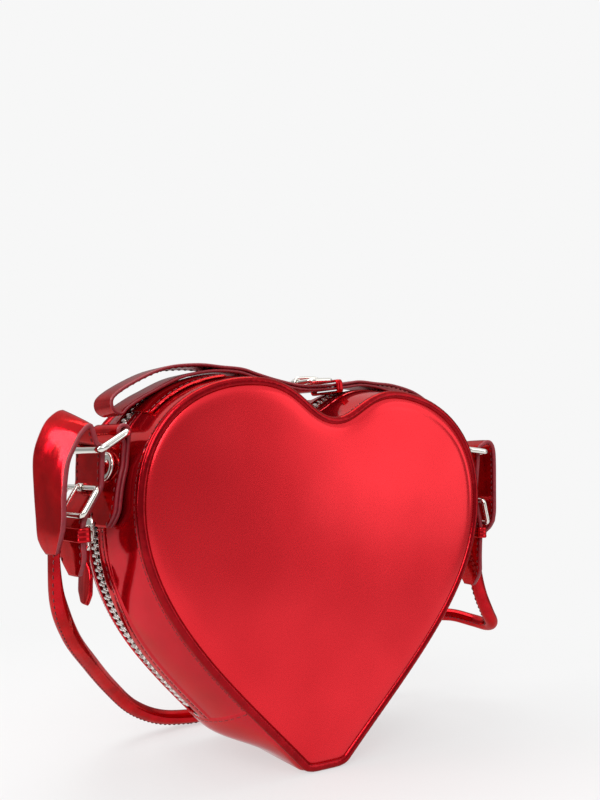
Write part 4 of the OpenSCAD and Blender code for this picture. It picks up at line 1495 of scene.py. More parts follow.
@dataclass
class Straps:
    """Side tabs, studs, rings, buckled belts, rolled strap and top handle.

    Attributes:
        shop: Where pieces are made.
        heart: Outline and wall.
        width: Width of the tabs and belts.
        belt_t: Thickness of a belt.
        wire_r: Radius of the rings' wire.
        ring_z: Height of the rings' inner bars.
        yaw: Angle by which the side hardware is turned to the front, in degrees.
        tab_drop: Length of a tab below its ring.
        belt_gap: Gap between the left stud and the belt in front of it.
        stud_w: Width of a stud.
        buckle_l: Length of a buckle, bar to bar.
        roll_r: Radius of the rolled strap.
        seat: Clearance between leathers that are sewn together.
    """

    shop: Workshop
    heart: Heart
    width: float = 22.0
    belt_t: float = 2.2
    wire_r: float = 1.6
    ring_z: float = 156.0
    yaw: float = 9.0
    tab_drop: float = 40.5
    belt_gap: float = 5.3
    stud_w: float = 13.0
    buckle_l: float = 13.0
    roll_r: float = 3.8
    seat: float = 0.3

    NAME = {Side.LEFT: "left", Side.RIGHT: "right"}

    def __post_init__(self) -> None:
        """Works out the places that the rest hangs on."""
        self.tab_t = self.belt_t * 0.85
        self.tab_y = -(self.heart.depth / 2 - self.heart.piping * 2 - self.width / 2)
        self.gap = self.wire_r + 0.08
        self.belt_r = self.gap + self.belt_t / 2
        self.stud_z = self.ring_z - self.tab_drop * 0.37
        self.stud_t = 1.6
        self.yaw_x = self.wall_x(self.stud_z)
        self.bar_x = {}
        for side in Side:
            face = self.face_x(side, self.ring_z)
            slope = math.atan((self.face_x(side, self.ring_z - 2) - face) / 2)
            self.bar_x[side] = face + self.tab_t / 2 + (self.tab_t / 2 + self.gap) / math.cos(slope)
        a = math.radians(HANGS[Side.LEFT].droop)
        front = self.stud_seat(Side.LEFT)[0] + self.stud_t + self.belt_gap + self.belt_t / 2 + self.belt_r
        self.reach = (front - self.bar_x[Side.LEFT]) / math.cos(a)
        self.bar = {}
        for side in Side:
            a = math.radians(HANGS[side].droop)
            out, down = self.reach * math.cos(a), self.reach * math.sin(a)
            self.bar[side] = np.array([self.bar_x[side] + out, self.ring_z - down])

    def build(self) -> None:
        """Builds everything outside the body."""
        for side in Side:
            self.tab(side)
            self.stud(side)
            self.ring(side)
            self.belt(side)
            self.buckle(side)
            self.keeper(side)
            self.handle_strip(side)
        self.rolls()
        self.handle()

    def wall_x(self, z: float) -> float:
        """Local X just off the wall at a height, on the tabs' middle line."""
        return self.heart.reach(z, self.tab_y) + 1.5 * self.seat

    def face_x(self, side: Side, z: float) -> float:
        """Local X of a tab's inner face at a height: on the wall below the stud, and easing off it above.

        Args:
            side: End of the strap.
            z: Height.

        Returns:
            The local X.
        """
        if z <= self.stud_z:
            return self.wall_x(z)
        low = self.wall_x(self.stud_z)
        return low + (self.wall_x(z) - low) * HANGS[side].ease

    def stud_seat(self, side: Side) -> tuple[float, float]:
        """Local X of the back of a stud, and its lean, across the bend of its tab.

        Args:
            side: End of the strap.

        Returns:
            The local X, and the lean in radians.
        """
        low, high = (self.face_x(side, self.stud_z + k * self.stud_w / 2) for k in (-1, 1))
        rest = max(self.yaw_x, (low + high) / 2)
        return rest + self.tab_t * 1.95 + self.seat * 0.7, math.atan((low - high) / self.stud_w)

    def place(self, side: Side, x: Any, y: Any, z: Any) -> Array:
        """Turns local places at a side into places in the frame: yawed to the front, mirrored on the left.

        Args:
            side: End of the strap.
            x: Distance outward.
            y: Distance to the rear.
            z: Height.

        Returns:
            Points (x, y, z).
        """
        a = math.radians(self.yaw)
        d = np.asarray(x, float) - self.yaw_x
        px = self.yaw_x + d * math.cos(a) + np.asarray(y, float) * math.sin(a)
        py = self.tab_y - d * math.sin(a) + np.asarray(y, float) * math.cos(a)
        px, py, pz = np.broadcast_arrays(px * side.value, py, np.asarray(z, float))
        return np.stack([px, py, pz], -1)

    def turn(self, side: Side, x: float, y: float, z: float) -> Array:
        """Turns a local direction at the side into one in the frame."""
        return self.place(side, x, y, z) - self.place(side, 0.0, 0.0, 0.0)

    def strip(
        self, name: str, path: Array, across: Array, width: float, thick: float, half_w: Array, body: str,
        slot: str, stands_for: Sequence[str], closed: bool = False, paint: str = "strap",
        stitch_from: Optional[Sequence[tuple]] = None, crown: float = 0.0
    ) -> None:
        """A sewn leather strip along a path, with painted edges and, where asked, rows of stitches.

        Args:
            name: Name of the piece.
            path: Middle of the strip.
            across: Direction across it.
            width: Full width.
            thick: Thickness.
            half_w: Share of the width at each point of the path.
            body: CAD body that it rides on.
            slot: Material slot.
            stands_for: CAD nodes that it replaces.
            closed: Whether it is a loop.
            paint: Finish of its faces.
            stitch_from: Runs of stitches: (start, end, sign of the face), as shares of the path.
            crown: Height of the padding in the middle of its faces.
        """
        u = np.broadcast_to(across, path.shape)
        along = tangents(path, closed)
        v = unit(np.cross(along, u))
        section = flat_section(width, thick)
        swell = crown * (1 - (section[:, 0] / (width / 2)) ** 2) * np.sign(section[:, 1])
        section = np.stack([section[:, 0], section[:, 1] + swell], -1)
        verts = sweep(path, u, v, section, half_w)
        n = len(section)
        faces = grid_faces(len(path), n, closed, True)
        column = np.arange(len(faces)) % n
        flat_n, round_n = 12, 5  # points of flat_section on a face and round an edge
        first_edge = (column >= flat_n - 1) & (column < flat_n + round_n)
        second_edge = column >= 2 * flat_n + round_n - 1
        paint_index = (first_edge | second_edge).astype(int)
        every = faces.tolist()
        if not closed:
            every += [list(range(n - 1, -1, -1)), list(range((len(path) - 1) * n, len(path) * n))]
            paint_index = np.concatenate([paint_index, [1, 1]])
        self.shop.piece(
            name, verts, outward(verts, every), [paint, "edge"], body, slot, stands_for, paint_index
        )
        if not stitch_from:
            return
        run = np.concatenate([[0], np.cumsum(np.linalg.norm(np.diff(path, axis=0), axis=1))])
        parts = []
        for start, end, face in stitch_from:
            count = max(2, int((end - start) * run[-1] / STITCH_PITCH))
            s = np.linspace(start, end, count) * run[-1]
            at = [rows_at(s, run, rows) for rows in (path, u, v, along)]
            w = np.interp(s, run, half_w) if half_w is not None else np.ones(count)
            for edge in (-1, 1):
                normal = unit(at[2]) * face
                aside = (edge * (width / 2 - STITCH_IN) * w)[:, None]
                points = at[0] + unit(at[1]) * aside + normal * (thick / 2 - 0.05)
                parts.append(stitch_row(points, normal, unit(at[3])))
        verts, faces = joined(parts)
        self.shop.piece(f"{name}_stitches", verts, trimmed(np.array(faces)), "thread", body, slot)

    def tab(self, side: Side) -> None:
        """Tab: one strip from the wall, round the ring's inner bar and back down over itself.

        Args:
            side: End of the strap.
        """
        end = self.ring_z - self.tab_drop
        z = np.linspace(end, self.ring_z, 40)
        face = np.array([self.face_x(side, k) for k in z])
        inner = np.stack([face + self.tab_t / 2, z], -1)
        sewn = self.ring_z - 3 * self.gap
        r = self.gap + self.tab_t / 2
        bulge = self.bar_x[side] - face[-1] + r - self.tab_t * 1.5
        swell = bulge * smooth((z - sewn) / (self.ring_z - sewn))
        outer = np.stack([face + self.tab_t * 1.5 + 0.02 + swell, z], -1)
        a = np.linspace(math.pi, 0, 15)[1:-1]
        arc = np.stack([self.bar_x[side] + r * np.cos(a), self.ring_z + r * np.sin(a)], -1)
        flat = np.vstack([inner, arc, outer[::-1]])
        path = self.place(side, flat[:, 0], 0.0, flat[:, 1])
        taper = 1 - 0.58 * (1 - smooth((flat[:, 1] - end) / 9.0) ** 0.5)
        turned = self.turn(side, 0, 1, 0)
        name = self.NAME[side]
        self.strip(
            f"tab_{name}", path, turned, self.width, self.tab_t - 0.04, taper, "front_half", "dark_leather",
            [f"side_tab_{name}"], stitch_from=[(0.62, 0.985, 1.0 if side is Side.RIGHT else -1.0)]
        )

    def stud(self, side: Side) -> None:
        """Stud: a turned disc with a raised bead at its rim, a shallow dish and a small domed rivet.

        Args:
            side: End of the strap.
        """
        x, lean = self.stud_seat(side)
        out = self.turn(side, math.cos(lean), 0, math.sin(lean))
        up = self.turn(side, -math.sin(lean), 0, math.cos(lean))
        across = np.cross(out, up)
        at = self.place(side, x, 0.0, self.stud_z)
        profile = [
            (0, 0.0), (0, 6.3), (0.3, 6.5), (1.2, 6.5), (1.55, 6.2), (1.6, 5.9), (1.5, 5.55), (1.1, 5.3),
            (0.95, 5.0), (0.92, 3.2), (0.95, 2.7), (1.2, 2.55), (1.42, 2.1), (1.55, 1.2), (1.58, 0.0)
        ]
        verts, faces = revolve(profile, 48)
        verts = at + verts[:, 0:1] * out + verts[:, 1:2] * up + verts[:, 2:3] * across
        self.shop.piece(
            f"stud_disc_{self.NAME[side]}", verts, outward(verts, faces), "metal", "front_half",
            "silver_metal", [f"tab_stud_{self.NAME[side]}"]
        )

    def wire_loop(
        self, name: str, at: Array, way: Array, across: Array, reach: float, half_w: float, r: float,
        bend: float, body: str, stands_for: Sequence[str]
    ) -> None:
        """A frame of round wire: a rounded rectangle from a bar at its start to one at its reach.

        Args:
            name: Name of the piece.
            at: Middle of the first bar.
            way: Direction of the reach.
            across: Direction of the bars.
            reach: Distance between the bars' middles.
            half_w: Half of the distance between the sides.
            r: Radius of the wire.
            bend: Radius of the corners.
            body: CAD body that it rides on.
            stands_for: CAD nodes that it replaces.
        """
        loop = rounded_rectangle((bend, reach - bend), (bend - half_w, half_w - bend), bend, 9)
        flat = resample(loop, 0.7, True)
        path = at + flat[:, 0:1] * way + flat[:, 1:2] * across
        u, v = carried_frames(path, np.cross(way, across), True)
        verts = sweep(path, u, v, circle(r, 18))
        self.shop.piece(
            name, verts, outward(verts, tube_faces(len(path), 18, True)), "metal", body, "silver_metal",
            stands_for
        )

    def ring(self, side: Side) -> None:
        """Ring: a rounded rectangle of wire, held in the fold of the tab.

        Args:
            side: End of the strap.
        """
        a = math.radians(HANGS[side].droop)
        bend = self.wire_r * 1.7
        name = self.NAME[side]
        self.wire_loop(
            f"wire_ring_{name}", self.place(side, self.bar_x[side], 0.0, self.ring_z),
            self.turn(side, math.cos(a), 0, -math.sin(a)), self.turn(side, 0, 1, 0), self.reach,
            self.width / 2 + 0.3 + bend, self.wire_r, bend, f"ring_{name}", [f"ring_{name}"]
        )

    def belt_line(self, side: Side) -> Array:
        """Line of a belt from its free tip, over the ring's outer bar, to the roll, as (local x, z).

        Args:
            side: End of the strap.

        Returns:
            Points of the line.
        """
        hang, bar, r = HANGS[side], self.bar[side], self.belt_r
        points = [bar + [p * hang.spread - r, -q * hang.tip_drop] for p, q in hang.leg[::-1]]
        points += [bar - [r, 0], bar + [-r * 0.75, r * 0.95], bar + [0, r * 1.45]]
        points += [
            bar + [p * hang.spread, q * (hang.spread if q > 0 else hang.end_drop)] for p, q in hang.arch
        ]
        return spline(points, 10)

    def belt(self, side: Side) -> None:
        """Belt of the strap: pointed at its tip, narrowing to the roll, with stitches along both edges.

        Args:
            side: End of the strap.
        """
        flat = resample(self.belt_line(side), 1.0)
        down = np.arange(len(flat))[::-1] * 1.0
        tip = 1 - 0.62 * (1 - smooth(np.arange(len(flat)) / 10.5) ** 0.55)
        back = self.width * 0.12
        front_edge = np.interp(down, [0, 4, 7, 11, 16], [back - self.roll_r * 1.1, -5.6, -8.2, -10.3, -11])
        rear_edge = np.interp(down, [0, 2.5, 6], [back + self.roll_r * 1.3, 9.9, 11])
        middle, half_w = (front_edge + rear_edge) / 2, (rear_edge - front_edge) / self.width * tip
        share = np.linspace(0, 1, len(flat))
        out, up = (np.interp(share, *(np.array(HANGS[side].twist)[:, k] for k in (0, n))) for n in (1, 2))
        calm = np.ones(9) / 9
        out, up = (np.convolve(np.pad(k, 4, mode="edge"), calm, "valid") / self.width for k in (out, up))
        path = self.place(side, flat[:, 0] + out * middle, middle, flat[:, 1] + up * middle)
        level, aside = self.turn(side, 0, 1, 0), self.turn(side, 1, 0, 0)
        across = unit(level + out[:, None] * aside + up[:, None] * np.array([0.0, 0.0, 1.0]))
        name = self.NAME[side]
        sign = 1.0 if side is Side.RIGHT else -1.0
        self.strip(
            f"belt_{name}", path, across, self.width, self.belt_t, half_w, f"strap_end_{name}",
            "dark_leather", [f"strap_belt_{name}"], stitch_from=[(0.05, 0.97, -sign), (0.05, 0.36, sign)],
            crown=0.12
        )

    def leg(self, side: Side, z: float, span: float) -> tuple[Array, float]:
        """Place of a belt's inner leg at a height, and its lean from upright over a span below.

        Args:
            side: End of the strap.
            z: Height.
            span: Height over which the lean is taken.

        Returns:
            Place (local x, z), and the lean in radians.
        """
        line = self.belt_line(side)
        low = line[: int(np.argmax(line[:, 1]))]
        x, under = (float(np.interp(k, low[:, 1], low[:, 0])) for k in (z, z - span))
        return np.array([x, z]), math.atan((under - x) / span)

    def pin_buckle(
        self, name: str, at: Array, way: Array, out: Array, across: Array, bodies: tuple[str, str],
        nodes: tuple[str, str]
    ) -> None:
        """Pin buckle: a wire frame, and a prong from an eye on its first bar to a rest on its second.

        Args:
            name: Name of the pieces.
            at: Middle of the first bar.
            way: Direction of the second bar from the first.
            out: Direction away from the leather.
            across: Direction of the bars.
            bodies: Bodies of the frame and of the prong.
            nodes: CAD nodes that they replace.
        """
        r, reach = self.wire_r * 0.75, self.buckle_l
        self.wire_loop(
            f"{name}_frame", at, way, across, reach, self.width / 2 + 0.3 + r * 1.6, r, r * 1.6, bodies[0],
            [nodes[0]]
        )
        a = np.linspace(0, 2 * math.pi, 25)[:-1]
        eye_r = r + 0.08 + 0.42
        radial = np.cos(a)[:, None] * out + np.sin(a)[:, None] * way
        eye = at + eye_r * radial
        section = flat_section(3.8, 0.8, 0.0, 1, 6)
        ring = sweep(eye, np.broadcast_to(across, eye.shape), radial, section)
        s = np.linspace(0, 1, 24)
        lift = r + 0.98 + 0.25 * np.sin(math.pi * s)
        height = lift - 0.28 * smooth((s - 0.8) / 0.2)
        rod = at + (s * (reach + 1.9) - 0.4)[:, None] * way + height[:, None] * out
        size = (1 - 0.18 * s) * np.sqrt(np.clip(1 - ((s - 0.5) / 0.505) ** 16, 0.02, 1))
        bar = sweep(
            rod, np.broadcast_to(across, rod.shape), np.broadcast_to(out, rod.shape), circle(0.88, 14),
            size * 1.15, size * 0.95
        )
        ring_part = (ring, outward(ring, tube_faces(len(eye), len(section), True)))
        verts, faces = joined([ring_part, (bar, outward(bar, tube_faces(len(rod), 14)))])
        self.shop.piece(f"{name}_pin", verts, faces, "metal", bodies[1], "silver_metal", [nodes[1]])

    def buckle(self, side: Side) -> None:
        """Pin buckle on the outer face of a belt's inner leg.

        Args:
            side: End of the strap.
        """
        (x, z), lean = self.leg(side, self.bar[side][1] - HANGS[side].buckle_drop, self.buckle_l * 0.7)
        lift = self.belt_t / 2 + 0.3 + self.wire_r * 0.75
        at = self.place(side, x + lift * math.cos(lean), 0.0, z + lift * math.sin(lean))
        out = self.turn(side, math.cos(lean), 0, math.sin(lean))
        down = self.turn(side, math.sin(lean), 0, -math.cos(lean))
        name = self.NAME[side]
        self.pin_buckle(
            f"belt_{name}_buckle", at, down, out, self.turn(side, 0, 1, 0),
            (f"strap_end_{name}", f"prong_{name}"), (f"belt_buckle_{name}", f"belt_prong_{name}")
        )

    def keeper_loop(
        self, name: str, at: Array, along: Array, out: Array, across: Array, width: float, thick: float,
        length: float, body: str, node: str
    ) -> None:
        """Keeper: a narrow leather band with soft raised ridges, closed round a strip.

        Args:
            name: Name of the piece.
            at: Middle of the strip.
            along: Direction of the strip.
            out: Direction out of its face.
            across: Direction across it.
            width: Width of what it holds.
            thick: Thickness of what it holds.
            length: Length of the band along the strip.
            body: CAD body that it rides on.
            node: CAD node that it replaces.
        """
        hx, hy, c = thick / 2 + 1.1, width / 2 + 1.1, 1.0
        loop = rounded_rectangle((c - hx, hx - c), (c - hy, hy - c), c, 7)
        flat = resample(loop, 0.8, True)
        path = at + flat[:, 0:1] * out + flat[:, 1:2] * across
        u = np.broadcast_to(along, path.shape)
        v = unit(np.cross(tangents(path, True), u))
        section = flat_section(length, 1.4, 0.0, 1, 16)
        ridged = np.abs(section[:, 0]) < 0.4 * length
        section[:, 1] += 0.06 * np.cos(section[:, 0] * 2 * math.pi / 2.0) * ridged * np.sign(section[:, 1])
        verts = sweep(path, u, v, section)
        self.shop.piece(
            name, verts, outward(verts, tube_faces(len(path), len(section), True)), "strap", body,
            "red_leather", [node]
        )

    def keeper(self, side: Side) -> None:
        """Keeper round a belt's inner leg, under its buckle.

        Args:
            side: End of the strap.
        """
        z = self.bar[side][1] - HANGS[side].buckle_drop - self.buckle_l - self.wire_r * 0.75 - 3.3
        (x, z), lean = self.leg(side, z, 2.0)
        name = self.NAME[side]
        self.keeper_loop(
            f"keeper_{name}", self.place(side, x, 0.0, z),
            self.turn(side, -math.sin(lean), 0, math.cos(lean)),
            self.turn(side, math.cos(lean), 0, math.sin(lean)), self.turn(side, 0, 1, 0), self.width,
            self.belt_t, 6.0, f"strap_end_{name}", f"belt_keeper_{name}"
        )

    def route(self) -> Array:
        """Line of the rolled strap from the left belt, behind the bag, to the right, as in part.scad.

        Returns:
            Points of the line.
        """
        half, back, high = self.heart.width / 2, self.heart.depth, self.heart.height
        shares = [
            (-1.245, -0.2, 0.47), (-1.13, 0.02, 0.365), (-0.97, 0.29, 0.272), (-0.8, 0.54, 0.18),
            (-0.63, 0.71, 0.098), (-0.44, 0.82, 0.044), (-0.24, 0.87, 0.0235), (-0.04, 0.88, 0.0225),
            (0.18, 0.89, 0.024), (0.4, 0.88, 0.04), (0.62, 0.84, 0.08), (0.86, 0.76, 0.16),
            (1.08, 0.64, 0.235), (1.26, 0.5, 0.28), (1.385, 0.33, 0.292), (1.44, 0.12, 0.283),
            (1.44, -0.04, 0.28), (1.4, -0.15, 0.296), (1.325, -0.2, 0.335), (1.25, -0.22, 0.395),
            (1.205, -0.225, 0.458), (1.19, -0.225, 0.51),
        ]
        ends = []
        for side in (Side.LEFT, Side.RIGHT):
            x, z = self.belt_line(side)[-1]
            ends.append(self.place(side, x, self.width * 0.12, z + 1.5).tolist())
        points = [ends[0]] + [(x * half, y * back, z * high) for x, y, z in shares] + [ends[1]]
        return spline(points, ROUTE_STEPS)

    def rolls(self) -> None:
        """Rolled strap: leather sewn round a cord, with a seam along it, flaring to a flat end at each belt.

        Its section is a circle with a shallow groove at the seam, and a wider, flatter oval at each end.
        """
        path = self.route()
        first, second = 7 * ROUTE_STEPS, 11 * ROUTE_STEPS
        cuts = {"left": (0, first), "middle": (first, second), "right": (second, len(path) - 1)}
        a = np.linspace(0, 2 * math.pi, 28, endpoint=False)
        u0, _ = carried_frames(path, self.turn(Side.LEFT, 0, 1, 0))
        u1, _ = carried_frames(path[::-1], self.turn(Side.RIGHT, 0, 1, 0))
        u1 = u1[::-1]
        along = tangents(path)
        if np.dot(u0[len(path) // 2], u1[len(path) // 2]) < 0:
            u1 = -u1
        mix = smooth(np.linspace(-0.6, 1.6, len(path)))[:, None]
        u = unit(u0 * (1 - mix) + u1 * mix)
        u = unit(u - along * (u * along).sum(-1, keepdims=True))
        v = np.cross(along, u)
        flare = smooth(1 - np.minimum(np.arange(len(path)), np.arange(len(path))[::-1]) / 18.0)
        wide = self.roll_r * (1 + 0.25 * flare)
        thin = self.roll_r + (self.belt_t * 0.6 - self.roll_r) * flare
        turn = np.radians(np.linspace(HANGS[Side.LEFT].seam, HANGS[Side.RIGHT].seam, len(path)))
        away = (a[None, :] - turn[:, None] + math.pi) % (2 * math.pi) - math.pi
        seam = 1 - 0.07 * np.exp(-((away / 0.16) ** 2))
        sideways = (wide[:, None] * np.cos(a) * seam)[..., None]
        upward = (thin[:, None] * np.sin(a) * seam)[..., None]
        rings = path[:, None, :] + u[:, None, :] * sideways + v[:, None, :] * upward
        for name, (i, j) in cuts.items():
            run = slice(i, j + 1)
            self.roll_piece(
                name, rings[run], path[run], u[run], v[run], along[run], wide[run], thin[run], turn[run]
            )

    def roll_piece(
        self, name: str, rings: Array, path: Array, u: Array, v: Array, along: Array, wide: Array,
        thin: Array, turn: Array
    ) -> None:
        """Makes one run of the rolled strap with its stitches; a side run is made in two pieces.

        Args:
            name: Name of the run.
            rings: Rings of its surface.
            path: Its middle line.
            u: First direction across it.
            v: Second direction across it.
            along: Directions along it.
            wide: Radius along u.
            thin: Radius along v.
            turn: Angle of the seam.
        """
        n = rings.shape[1]
        last = len(path) - 1
        low, high = 34, last - 36  # rows where the two pieces of a side run meet
        spans = {
            "left": [(0, low, "strap_end_left", "ring_left"), (low, last, "ring_left", "front_half")],
            "middle": [(0, last, "front_half", None)],
            "right": [(0, high, "front_half", "ring_right"), (high, last, "ring_right", "strap_end_right")],
        }[name]
        for k, (i, j, body, other) in enumerate(spans):
            part = rings[i : j + 1].reshape(-1, 3)
            faces = outward(part, grid_faces(j - i + 1, n, False, True).tolist())
            blend = (other, tuple(path[i]), tuple(path[j])) if other else None
            stands = [f"strap_roll_{name}"] if k == 0 else []
            self.shop.piece(
                f"rolled_strap_{name}_{k + 1}", part, faces, "strap", body, "red_leather", stands, blend=blend
            )
            step = 3.0
            run = np.concatenate([[0], np.cumsum(np.linalg.norm(np.diff(path[i : j + 1], axis=0), axis=1))])
            s = np.arange(step / 2, run[-1], step)
            at, side, up, way = (rows_at(s, run, rows[i : j + 1]) for rows in (path, u, v, along))
            w, t = np.interp(s, run, wide[i : j + 1]), np.interp(s, run, thin[i : j + 1])
            a = np.interp(s, run, turn[i : j + 1]) + 0.42
            normal = unit(side * (np.cos(a) / w)[:, None] + up * (np.sin(a) / t)[:, None])
            points = at + side * (w * np.cos(a))[:, None] + up * (t * np.sin(a))[:, None]
            verts, faces = stitch_row(points - normal * 0.05, normal, unit(way))
            self.shop.piece(
                f"rolled_strap_{name}_{k + 1}_stitches", verts, trimmed(faces), "thread", body, "red_leather",
                blend=blend
            )

    def handle_strip(self, side: Side) -> None:
        """Strip that the handle is sewn to: a thin sheet on the front wall, over the tab.

        Args:
            side: End of the strap.
        """
        heart = self.heart
        path = heart.half()
        path = resample(
            path[(path[:, 1] > self.ring_z + 4 * self.gap) & (path[:, 0] > heart.lobe_x * 1.25)], 1.2
        )
        centre, half_w = -self.tab_y - self.width * 0.07, self.width * 0.43
        ys = centre + half_w * np.sin(np.linspace(-math.pi / 2, math.pi / 2, 19))
        edge = np.sqrt(np.clip(1 - np.linspace(-1, 1, 19) ** 10, 0, 1))
        groove = 0.14 * np.exp(-(((np.abs(ys - centre) - half_w + STITCH_IN) / 0.7) ** 2))
        top = heart.sheet(path, ys, 0.3 + 0.7 + 0.7 * edge[None] - groove[None], Half.FRONT)
        under = heart.sheet(path, ys[::-1], 0.3 + 0.7 - 0.7 * edge[None], Half.FRONT)
        loop = np.concatenate([top, under], 1)
        loop[..., 0] *= side.value
        verts = loop.reshape(-1, 3)
        name = self.NAME[side]
        self.shop.piece(
            f"handle_strip_{name}", verts, outward(verts, tube_faces(len(path), loop.shape[1])), "strap",
            "front_half", "red_leather", [f"handle_base_{name}"]
        )
        parts = []
        for k in (-1, 1):
            grid = heart.sheet(
                resample(path, STITCH_PITCH), centre + k * (half_w - STITCH_IN) + np.array([-0.4, 0.0, 0.4]),
                1.65, Half.FRONT
            )
            normal, down = grid_normals(grid)
            for array in (grid, normal, down):
                array[..., 0] *= side.value
            parts.append(stitch_row(grid[:, 1], normal[:, 1], down[:, 1]))
        verts, faces = joined(parts)
        self.shop.piece(
            f"handle_strip_{name}_stitches", verts, trimmed(np.array(faces)), "thread", "front_half",
            "red_leather"
        )

    def handle(self) -> None:
        """Top handle: a flat strip in a loop, laid double over the lobes, sagging at the cleft and folded."""
        heart, t, gap = self.heart, 1.5, 2.0
        lobe_top = heart.height + heart.top + gap + t / 2
        fold_z, r, dip, step = 168.0, 3.4, 5.5, t + 0.3
        fold_x = 102 - r - t
        half = heart.half()
        along = tangents(half)
        normal = np.stack([along[:, 1], -along[:, 0]], -1)
        hug = half + normal * (heart.off(half[:, 1], np.zeros(len(half))) + gap + t / 2)[:, None]
        inner, outer, shoulder = 29.0, 79.5, 150.0  # bounds of what the handle lies on
        on_top = (half[:, 1] > shoulder) & (half[:, 0] < outer) & (half[:, 0] > inner)
        hug, hug_n, hug_x = hug[on_top][::-1], normal[on_top][::-1], half[on_top][::-1, 0]
        drop = lobe_top - fold_z

        def middle(lift: float) -> list[list[float]]:
            """Places over the cleft."""
            return [[0.0, lobe_top + lift - dip], [heart.lobe_x * 0.38, lobe_top + lift - dip * 0.72]]

        def beyond(shares: Sequence[tuple[float, float]], lift: float) -> list[list[float]]:
            """Places between a lobe's top and the fold."""
            return [[p * fold_x, lobe_top + lift - q * drop] for p, q in shares]

        near = hug_x < 48
        to_fold = beyond([(0.62, 0.02), (0.78, 0.16), (0.92, 0.48)], step)
        upper = middle(step) + (hug + hug_n * step)[near][::4].tolist() + to_fold
        lower = middle(0.0) + hug[::5].tolist() + beyond([(0.9, 0.78)], 0.0)
        fold = [
            [fold_x + r, fold_z + r * 1.3], [fold_x + r * 1.2, fold_z - r * 0.3], [fold_x, fold_z - r],
            [fold_x - r * 0.9, fold_z - r * 0.1]
        ]
        right = upper + fold + lower[::-1]
        left = [[-x, z] for x, z in right[::-1] if x > 0]
        flat = resample(spline(right + left, 8, True), 1.0, True)
        path = np.stack([flat[:, 0], np.zeros(len(flat)), flat[:, 1]], -1)
        width = 21.0
        self.strip(
            "handle_loop", path, np.array([0.0, 1.0, 0.0]), width, t, np.ones(len(path)), "front_half",
            "dark_leather", ["top_handle"], closed=True,
            stitch_from=[(0.003, 0.235, -1.0), (0.765, 0.997, -1.0)], crown=0.06
        )
        at_x, reach = width * 0.1, self.buckle_l
        upper_part = flat[: len(flat) // 8]

        def height(x: float) -> float:
            """Height of the upper layer at X."""
            return float(np.interp(abs(x), upper_part[:, 0], upper_part[:, 1]))

        slope = (height(at_x + reach) - height(at_x)) / reach
        way = unit(np.array([1.0, 0.0, slope]))
        out = np.array([-way[2], 0.0, way[0]])
        at = np.array([at_x, 0.0, height(at_x) + t / 2]) + out * (0.6 + self.wire_r * 0.75)
        self.pin_buckle(
            "handle_buckle", at, way, out, np.array([0.0, 1.0, 0.0]), ("front_half", "handle_prong"),
            ("handle_buckle", "handle_prong")
        )
        k, length = width * 1.02, 4.0
        slope = (height(k + length / 2) - height(k - length / 2)) / length
        self.keeper_loop(
            "handle_band", np.array([k, 0.0, height(k) - (t + 0.3) / 2]), unit(np.array([1.0, 0.0, slope])),
            unit(np.array([-slope, 0.0, 1.0])), np.array([0.0, 1.0, 0.0]), width, 2 * t + 0.6, length,
            "front_half", "handle_keeper"
        )


# Studio


